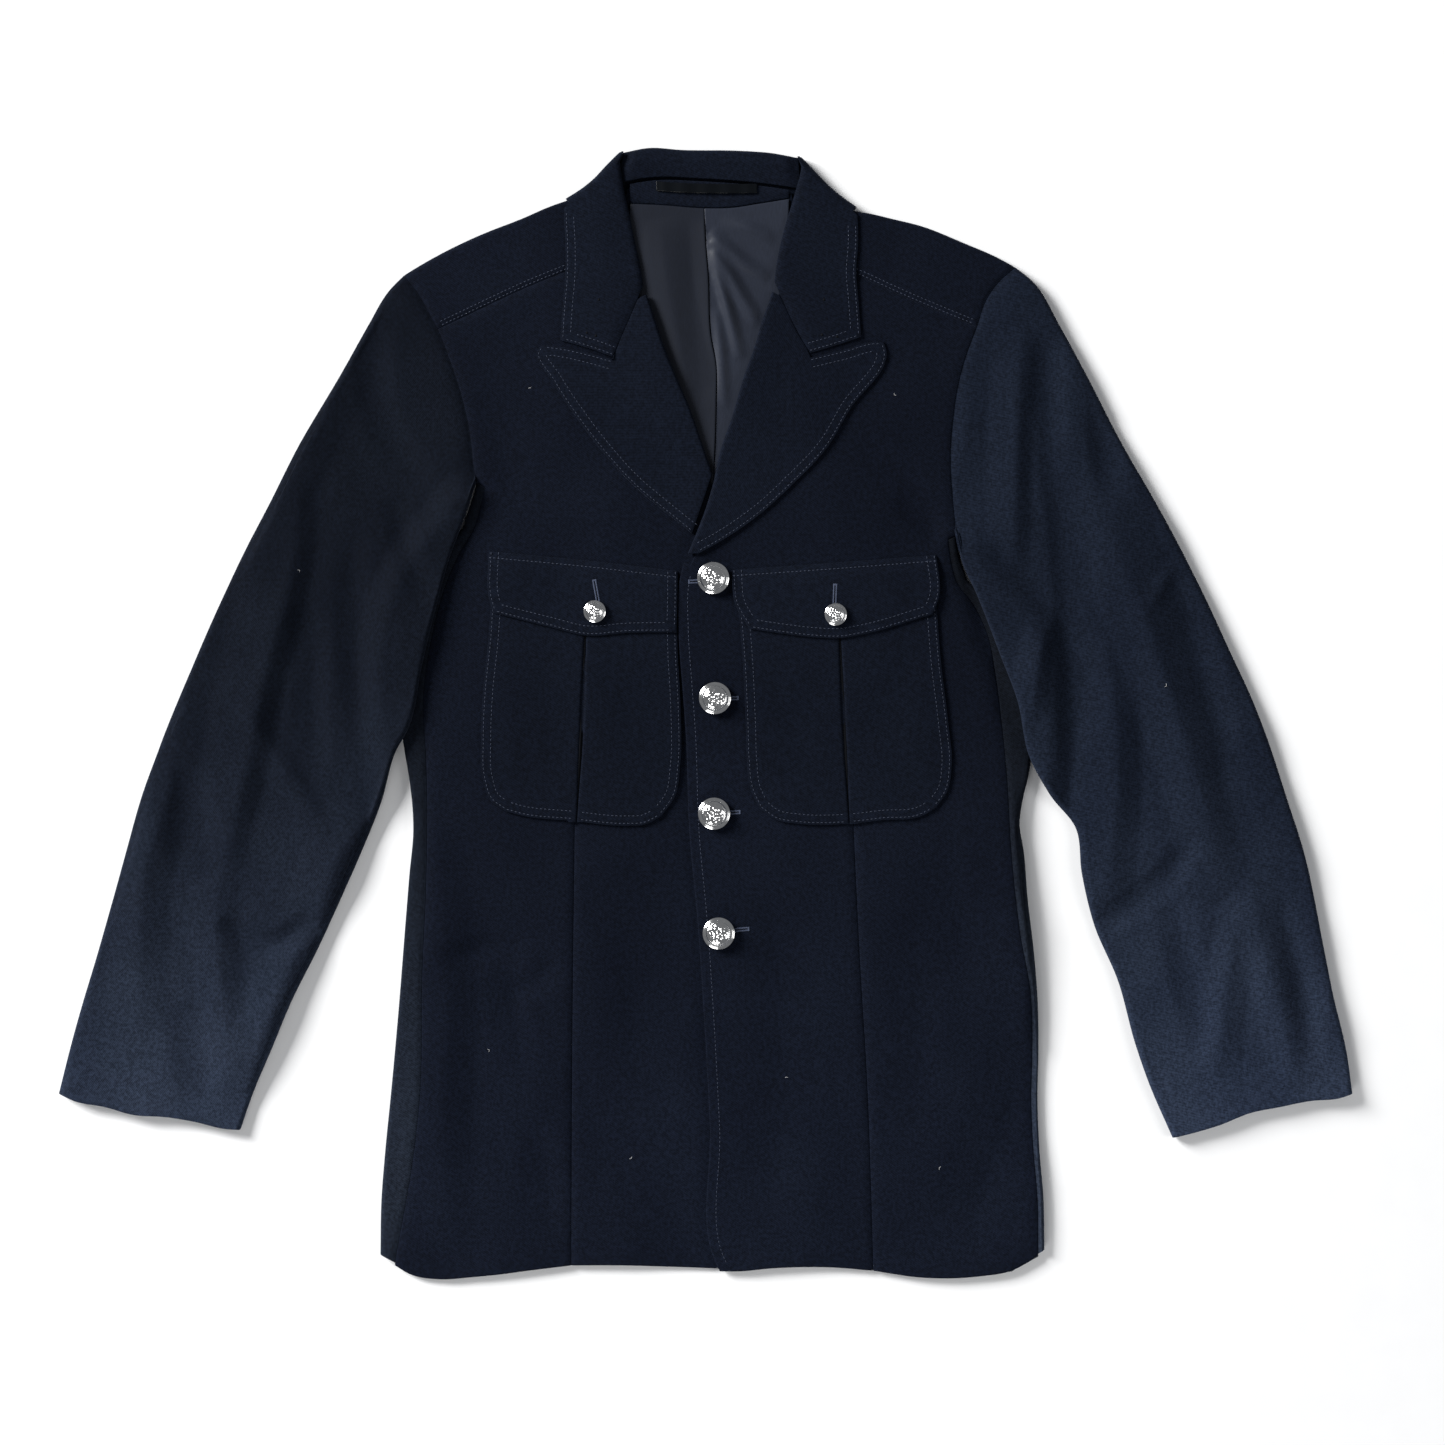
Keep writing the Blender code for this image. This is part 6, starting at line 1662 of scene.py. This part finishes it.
def wool(name, colour, turn=0.0, painted_light_gain=0.0):
    """Matt navy wool: twill ribs, heathered fibres and painted light, a brightening of the colour that
    gathers towards the cuffs.
    """
    nodes = Nodes(name)
    twill = nodes.ribs(nodes.mapped(turn + 60.0, (1.0, 1.0, 1.0)), sizes().twill_scale, 1.6)
    yarns = nodes.noise(nodes.mapped(turn, (1.0, 0.45, 1.0)), 1150.0, 3.0, 0.65)
    fibres = nodes.noise(nodes.coordinates, 420.0, 4.0, 0.7)
    clouds = nodes.noise(nodes.mapped(turn + 15.0, (1.0, 0.6, 1.0)), 11.0, 3.0, 0.55)
    grain = nodes.maths("ADD", nodes.maths("MULTIPLY", twill, 0.35),
                        nodes.maths("MULTIPLY", yarns, 0.65))
    fine = nodes.ramp(grain, 0.34, 0.68, scaled(colour, 0.35), scaled(colour, 1.75))
    heather = nodes.ramp(fibres, 0.4, 0.62, scaled(colour, 0.4), scaled(colour, 1.75))
    mottled = nodes.mix(0.5, fine, heather)
    wide = nodes.ramp(clouds, 0.35, 0.65, (0.82, 0.84, 0.88), (1.18, 1.17, 1.14))
    parts = nodes.add("ShaderNodeSeparateXYZ")
    nodes.link(nodes.coordinates, parts.inputs[0])
    # Painted light: the base colour grows lighter towards low Y, the cuffs and the hem, standing in for
    # light that falls there.
    along_y = nodes.maths("ADD", nodes.maths("MULTIPLY", parts.outputs[1], -PAINTED_LIGHT_SLOPE), PAINTED_LIGHT_MIDDLE)
    near_cuff = nodes.maths("POWER", nodes.maths("MAXIMUM", along_y, 0.0), 3.0)
    pale = (1.0 + 1.1 * painted_light_gain, 1.0 + painted_light_gain, 1.0 + 0.88 * painted_light_gain)
    painted_light_tint = nodes.ramp(near_cuff, 0.0, 1.0, (1.0, 1.0, 1.0), pale)
    tinted = nodes.mix(1.0, mottled, wide, "MULTIPLY")
    nodes.feed(nodes.mix(1.0, tinted, painted_light_tint, "MULTIPLY"), "Base Color")
    rough = nodes.ramp(grain, 0.2, 0.8, (0.92, 0.92, 0.92), (0.74, 0.74, 0.74))
    nodes.feed(rough, "Roughness")
    nodes.bump(grain, 0.00016, 0.7)
    nodes.surface(Specular_IOR_Level=0.05, Sheen_Weight=0.05, Sheen_Roughness=0.45,
                  Sheen_Tint=(0.55, 0.65, 0.95, 1.0))
    return nodes.material


def satin(name, colour, roughness, turn):
    """Smooth satin: long floats in one direction and a soft directional shine."""
    nodes = Nodes(name)
    floats = nodes.noise(nodes.mapped(turn, (1.0, 0.12, 1.0)), 1500.0, 3.0, 0.6)
    waves = nodes.noise(nodes.mapped(turn, (1.0, 0.5, 1.0)), 26.0, 2.0, 0.5)
    fine = nodes.ramp(floats, 0.3, 0.7, scaled(colour, 0.82), scaled(colour, 1.18))
    wide = nodes.ramp(waves, 0.3, 0.7, (0.9, 0.9, 0.92), (1.08, 1.08, 1.08))
    nodes.feed(nodes.mix(1.0, fine, wide, "MULTIPLY"), "Base Color")
    shine = nodes.ramp(floats, 0.3, 0.7, (roughness * 1.12,) * 3, (roughness * 0.88,) * 3)
    nodes.feed(shine, "Roughness")
    nodes.bump(floats, 0.00004, 0.5)
    nodes.surface(Specular_IOR_Level=0.18, Sheen_Weight=0.03, Sheen_Roughness=0.3)
    return nodes.material


def thread_finish(name, colour):
    """Sewing thread with its twist."""
    nodes = Nodes(name)
    twist = nodes.noise(nodes.coordinates, 5200.0, 2.0, 0.5)
    tone = nodes.ramp(twist, 0.3, 0.7, scaled(colour, 0.72), scaled(colour, 1.3))
    nodes.feed(tone, "Base Color")
    nodes.bump(twist, 0.00005, 0.5)
    nodes.surface(Roughness=0.55, Specular_IOR_Level=0.35, Sheen_Weight=0.1)
    return nodes.material


def chrome(name, colour):
    """Bright plating with hairline wear and a soft haze."""
    nodes = Nodes(name)
    hairlines = nodes.noise(nodes.mapped(25.0, (1.0, 0.08, 1.0)), 2600.0, 2.0, 0.6)
    haze = nodes.noise(nodes.coordinates, 330.0, 3.0, 0.6)
    tone = nodes.ramp(haze, 0.35, 0.75, scaled(colour, 0.88), scaled(colour, 1.04))
    nodes.feed(tone, "Base Color")
    worn = nodes.maths("ADD", nodes.maths("MULTIPLY", hairlines, 0.1),
                       nodes.maths("MULTIPLY", haze, 0.16))
    nodes.feed(worn, "Roughness")
    nodes.bump(hairlines, 0.000012, 0.5)
    nodes.surface(Metallic=1.0)
    return nodes.material


def plain_finish(name, colour, roughness, scale):
    """An even matt finish with a little grain."""
    nodes = Nodes(name)
    grain = nodes.noise(nodes.coordinates, scale, 3.0, 0.5)
    tone = nodes.ramp(grain, 0.3, 0.7, scaled(colour, 0.985), scaled(colour, 1.0))
    nodes.feed(tone, "Base Color")
    nodes.surface(Roughness=roughness, Specular_IOR_Level=0.1)
    return nodes.material


def length_property(name, description, default, low, high):
    """A length in metres for the panel."""
    return bpy.props.FloatProperty(name=name, description=description, default=default, min=low,
                                   max=high, precision=5, subtype="DISTANCE", unit="LENGTH")


def colour_property(name, description, default):
    """A colour for the panel."""
    return bpy.props.FloatVectorProperty(name=name, description=description, default=default,
                                         size=3, min=0.0, max=1.0, subtype="COLOR")


class TunicSizes(bpy.types.PropertyGroup):
    """Sizes of the cloth's relief and its sewing."""

    cloth_cell: length_property("Cloth cell", "Spacing of the cloth's mesh", 0.0038, 0.002, 0.02)
    edge_round: length_property("Edge round", "Rounding of cut cloth edges", 0.0005, 0.0001, 0.001)
    seam_depth: length_property("Seam depth", "How far cloth dips at a seam", 0.0009, 0.0, 0.002)
    stitch_pitch: length_property("Stitch pitch", "Distance between stitches", 0.0031, 0.001, 0.006)
    stitch_length: length_property("Stitch length", "Length of one stitch", 0.002, 0.001, 0.005)
    thread_radius: length_property("Thread radius", "Radius of the thread", 0.00019, 0.0001, 0.0005)
    edge_row: length_property("Edge row", "Edge to the first row of stitches", 0.0017, 0.001, 0.004)
    inner_row: length_property("Inner row", "Edge to the second row", 0.0072, 0.004, 0.012)
    fold_strength: bpy.props.FloatProperty(
        name="Fold strength", description="Height of the folds as a share of the built-in ones",
        default=1.4, min=0.0, max=1.6, subtype="FACTOR")
    twill_scale: bpy.props.FloatProperty(
        name="Twill scale", description="Fineness of the twill ribs; larger is finer",
        default=270.0, min=50.0, max=900.0)


class TunicColours(bpy.types.PropertyGroup):
    """Colours of the cloth, the lining, the sewing and the metal."""

    cloth: colour_property("Body cloth", "Navy of the fronts and back", (0.0026, 0.004, 0.0088))
    trim: colour_property("Collar cloth", "Navy of collar, lapels and flaps",
                          (0.003, 0.0046, 0.0096))
    sleeve: colour_property("Sleeve cloth", "Navy of the sleeves", (0.0028, 0.0042, 0.008))
    # The side cloth is a lighter copy of the body navy: painted light for the sides' brighter look.
    side: colour_property("Side cloth", "Navy of the side panels", (0.0033, 0.0048, 0.0084))
    lining: colour_property("Lining", "Charcoal of the satin lining", (0.0128, 0.0154, 0.0232))
    tape: colour_property("Hanger loop", "Black of the satin loop", (0.0022, 0.003, 0.0042))
    thread: colour_property("Thread", "Blue of the topstitching", (0.034, 0.045, 0.078))
    metal: colour_property("Buttons", "Bright plating", (0.86, 0.86, 0.85))
    floor: colour_property("Floor", "Pale floor under the tunic", (0.9, 0.9, 0.9))


def material_of(name, maker, *values):
    """The material of a name, made once."""
    return bpy.data.materials.get(name) or maker(name, *values)


class TUNIC_OT_fronts(bpy.types.Operator):
    """Build both front panels with their darts"""

    bl_idname = "tunic.fronts"
    bl_label = "Front panels"

    def execute(self, context):
        for side in HALVES:
            # Painted light: 0.5 makes the body cloth a little lighter towards the hem.
            build_front(side, material_of("body_wool", wool, tuple(colours().cloth), 0.0, 0.5))
        return {"FINISHED"}


class TUNIC_OT_sides(bpy.types.Operator):
    """Build the side panels, the shoulder pieces and the back"""

    bl_idname = "tunic.sides"
    bl_label = "Sides, shoulders and back"

    def execute(self, context):
        # Painted light: 0.5 makes the body cloth a little lighter towards the hem.
        body = material_of("body_wool", wool, tuple(colours().cloth), 0.0, 0.5)
        # Painted shade and light: the left side panel's colour is halved, painted shade beside the sleeve
        # at its top, and both side panels are painted much lighter towards the hem.
        for side, tone, painted_light_gain in (("right", 1.0, 2.0), ("left", 0.5, 10.0)):
            build_side(side, material_of("side_wool_" + side, wool, scaled(colours().side, tone),
                                         2.0, painted_light_gain))
            build_yoke(side, body)
            build_turning(side, body)
        build_back(body)
        return {"FINISHED"}


class TUNIC_OT_sleeves(bpy.types.Operator):
    """Build the two-piece sleeves with their folds"""

    bl_idname = "tunic.sleeves"
    bl_label = "Sleeves"

    def execute(self, context):
        # Painted light: the left sleeve's colour is more than doubled to stand in for more light on it, and
        # both sleeves are painted lighter towards the cuffs.
        for side, turn, tone, painted_light_gain in (("right", -22.0, 1.0, 4.6), ("left", 22.0, 2.1, 2.4)):
            build_sleeve(side, material_of("sleeve_wool_" + side, wool,
                                           scaled(colours().sleeve, tone), turn, painted_light_gain))
        return {"FINISHED"}


class TUNIC_OT_collar(bpy.types.Operator):
    """Build the lapels, the collar leaf and the collar stand"""

    bl_idname = "tunic.collar"
    bl_label = "Lapels and collar"

    def execute(self, context):
        for side, turn in (("right", 30.0), ("left", -30.0)):
            build_lapel(side, material_of("lapel_wool_" + side, wool, tuple(colours().trim), turn))
        leaf = material_of("collar_wool", wool, tuple(colours().trim), 12.0)
        build_collar_leaf(leaf)
        build_collar_stand(leaf)
        return {"FINISHED"}


class TUNIC_OT_neck(bpy.types.Operator):
    """Build the satin lining, the neck facing and the hanger loop"""

    bl_idname = "tunic.neck"
    bl_label = "Lining and hanger loop"

    def execute(self, context):
        # Painted light and shade: the two lining halves are lit and shaded copies of one satin, the right
        # one darker and the left one lighter.
        for side, turn, tone in (("right", 8.0, 0.85), ("left", -25.0, 1.4)):
            build_lining(side, material_of("lining_satin_" + side, satin,
                                           scaled(colours().lining, tone), 0.42, turn))
        build_facing(material_of("collar_wool", wool, tuple(colours().trim), 12.0))
        build_loop(material_of("loop_satin", satin, tuple(colours().tape), 0.26, 90.0))
        return {"FINISHED"}


class TUNIC_OT_pockets(bpy.types.Operator):
    """Build the pleated breast pockets and their flaps"""

    bl_idname = "tunic.pockets"
    bl_label = "Pockets and flaps"

    def execute(self, context):
        cloth = material_of("pocket_wool", wool, tuple(colours().trim), 4.0)
        for side in HALVES:
            build_pocket(side, cloth)
            build_flap(side, cloth)
        return {"FINISHED"}


class TUNIC_OT_buttons(bpy.types.Operator):
    """Build the stamped metal buttons"""

    bl_idname = "tunic.buttons"
    bl_label = "Buttons"

    def execute(self, context):
        metal = material_of("button_chrome", chrome, tuple(colours().metal))
        for number, (x, y, tilt_x, tilt_y) in enumerate(FRONT_BUTTONS, 1):
            level = float(front_level("left", np.array([[x, y]]))[0])
            build_button("chrome_front_button_%d" % number, "front_button_%d" % number, x, y,
                         level + GAP, BUTTON_RADIUS, (tilt_x, tilt_y), 0.25 * number, metal)
        for side in HALVES:
            x, y = HALVES[side]["flap"]["button"]
            level = float(front_level(side, np.array([[x, y]]))[0]) + 2 * (CLOTH + GAP)
            build_button("chrome_flap_button_" + side, "flap_button_" + side, x, y, level + GAP,
                         FLAP_BUTTON_RADIUS, (0.0, 0.0), 0.1, metal)
        return {"FINISHED"}


class TUNIC_OT_sewing(bpy.types.Operator):
    """Sew the topstitching, the buttonholes and the small holes, and add lint"""

    bl_idname = "tunic.sewing"
    bl_label = "Sewing and small marks"

    def execute(self, context):
        thread = material_of("topstitch_thread", thread_finish, tuple(colours().thread))
        worked = material_of("buttonhole_thread", thread_finish, scaled(colours().thread, 1.5))
        # Painted shade: the openings of buttonholes, pleats and pin holes are dark sheets standing in for
        # shade.
        painted_shade = material_of("dark_opening", plain_finish, (0.002, 0.0025, 0.004), 0.9, 900.0)
        for side in HALVES:
            sew_lapel(side, thread)
            sew_collar(side, thread)
            sew_pocket(side, thread)
        sew_body(thread)
        threads = Threads()
        slits = []
        for x, y, length, angle in BUTTONHOLES:
            sew_buttonhole(threads, slits, x, y, length, angle,
                           lambda places: front_level("left", places))
        for side, (x, y, length, angle) in FLAP_BUTTONHOLES.items():
            sew_buttonhole(threads, slits, x, y, length, angle,
                           lambda places: flap_level(side, places, flap_shares(side, places)))
        threads.finished("worked_buttonholes", worked)
        build_slits("buttonhole_painted_shade", slits, painted_shade)
        build_slits("pleat_painted_shade", [pleat_opening(side) for side in HALVES], painted_shade)
        holes = [pin_hole(x, y, leaf_height(side))
                 for side in HALVES for x, y in PIN_HOLES[side]]
        build_slits("pin_hole_painted_shade", holes, painted_shade)
        build_lint(material_of("lint_fibre", plain_finish, (0.62, 0.62, 0.62), 0.8, 900.0))
        return {"FINISHED"}


class TUNIC_OT_stage(bpy.types.Operator):
    """Build the floor, the lights and the camera"""

    bl_idname = "tunic.stage"
    bl_label = "Stage"

    def execute(self, context):
        half = 0.5 * FLOOR_SIZE
        mesh = bpy.data.meshes.new("pale_floor")
        corners = [(-half, -half), (half, -half), (half, half), (-half, half)]
        mesh.from_pydata([(x, y, -FLOOR_DROP) for x, y in corners], [], [(0, 1, 2, 3)])
        mesh.materials.append(material_of("floor_paper", plain_finish, tuple(colours().floor),
                                          0.9, 40.0))
        placed("pale_floor", mesh)
        for name, place, size, power in STUDIO_LIGHTS:
            lamp = bpy.data.lights.new(name, "AREA")
            lamp.shape = "RECTANGLE"
            lamp.size, lamp.size_y = size
            lamp.energy = power
            light = placed(name, lamp, place)
            light.rotation_euler = (-Vector(place)).to_track_quat("-Z", "Y").to_euler()
        world = bpy.data.worlds.new("studio_air")
        world.use_nodes = True
        sockets = world.node_tree.nodes["Background"].inputs
        sockets["Color"].default_value = (0.92, 0.95, 1.0, 1.0)
        sockets["Strength"].default_value = WORLD_STRENGTH
        bpy.context.scene.world = world
        lens = bpy.data.cameras.new("overhead_camera")
        lens.sensor_width = SENSOR_WIDTH
        lens.lens = SENSOR_WIDTH * (CAMERA_HEIGHT - FRAME_LEVEL) / FRAME_WIDTH
        bpy.context.scene.camera = placed("overhead_camera", lens, (
            CAMERA_XY[0] - PLAN_MIDDLE[0], CAMERA_XY[1] - PLAN_MIDDLE[1], CAMERA_HEIGHT))
        bpy.context.scene.view_settings.view_transform = "Standard"
        return {"FINISHED"}


class TUNIC_PT_panel(bpy.types.Panel):
    """Sizes, colours and the pieces of the tunic"""

    bl_idname = "TUNIC_PT_panel"
    bl_label = "Laid Police Tunic"
    bl_space_type = "VIEW_3D"
    bl_region_type = "UI"
    bl_category = "Tunic"

    def draw(self, context):
        layout = self.layout
        for group in (context.scene.tunic_sizes, context.scene.tunic_colours):
            box = layout.box()
            for key in group.__annotations__:
                box.prop(group, key)
        for operator in PIECES:
            layout.operator(operator.bl_idname)


PIECES = (TUNIC_OT_fronts, TUNIC_OT_sides, TUNIC_OT_sleeves, TUNIC_OT_collar, TUNIC_OT_neck,
          TUNIC_OT_pockets, TUNIC_OT_buttons, TUNIC_OT_sewing, TUNIC_OT_stage)
CLASSES = (TunicSizes, TunicColours, *PIECES, TUNIC_PT_panel)


def register():
    """Register the classes and the two groups of settings."""
    for item in CLASSES:
        bpy.utils.register_class(item)
    bpy.types.Scene.tunic_sizes = bpy.props.PointerProperty(type=TunicSizes)
    bpy.types.Scene.tunic_colours = bpy.props.PointerProperty(type=TunicColours)


def unregister():
    """Remove the settings and the classes."""
    del bpy.types.Scene.tunic_colours
    del bpy.types.Scene.tunic_sizes
    for item in reversed(CLASSES):
        bpy.utils.unregister_class(item)


def main():
    """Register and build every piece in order."""
    register()
    bpy.ops.tunic.stage()
    bpy.ops.tunic.fronts()
    bpy.ops.tunic.sides()
    bpy.ops.tunic.sleeves()
    bpy.ops.tunic.collar()
    bpy.ops.tunic.neck()
    bpy.ops.tunic.pockets()
    bpy.ops.tunic.buttons()
    bpy.ops.tunic.sewing()


if __name__ == "__main__":
    main()
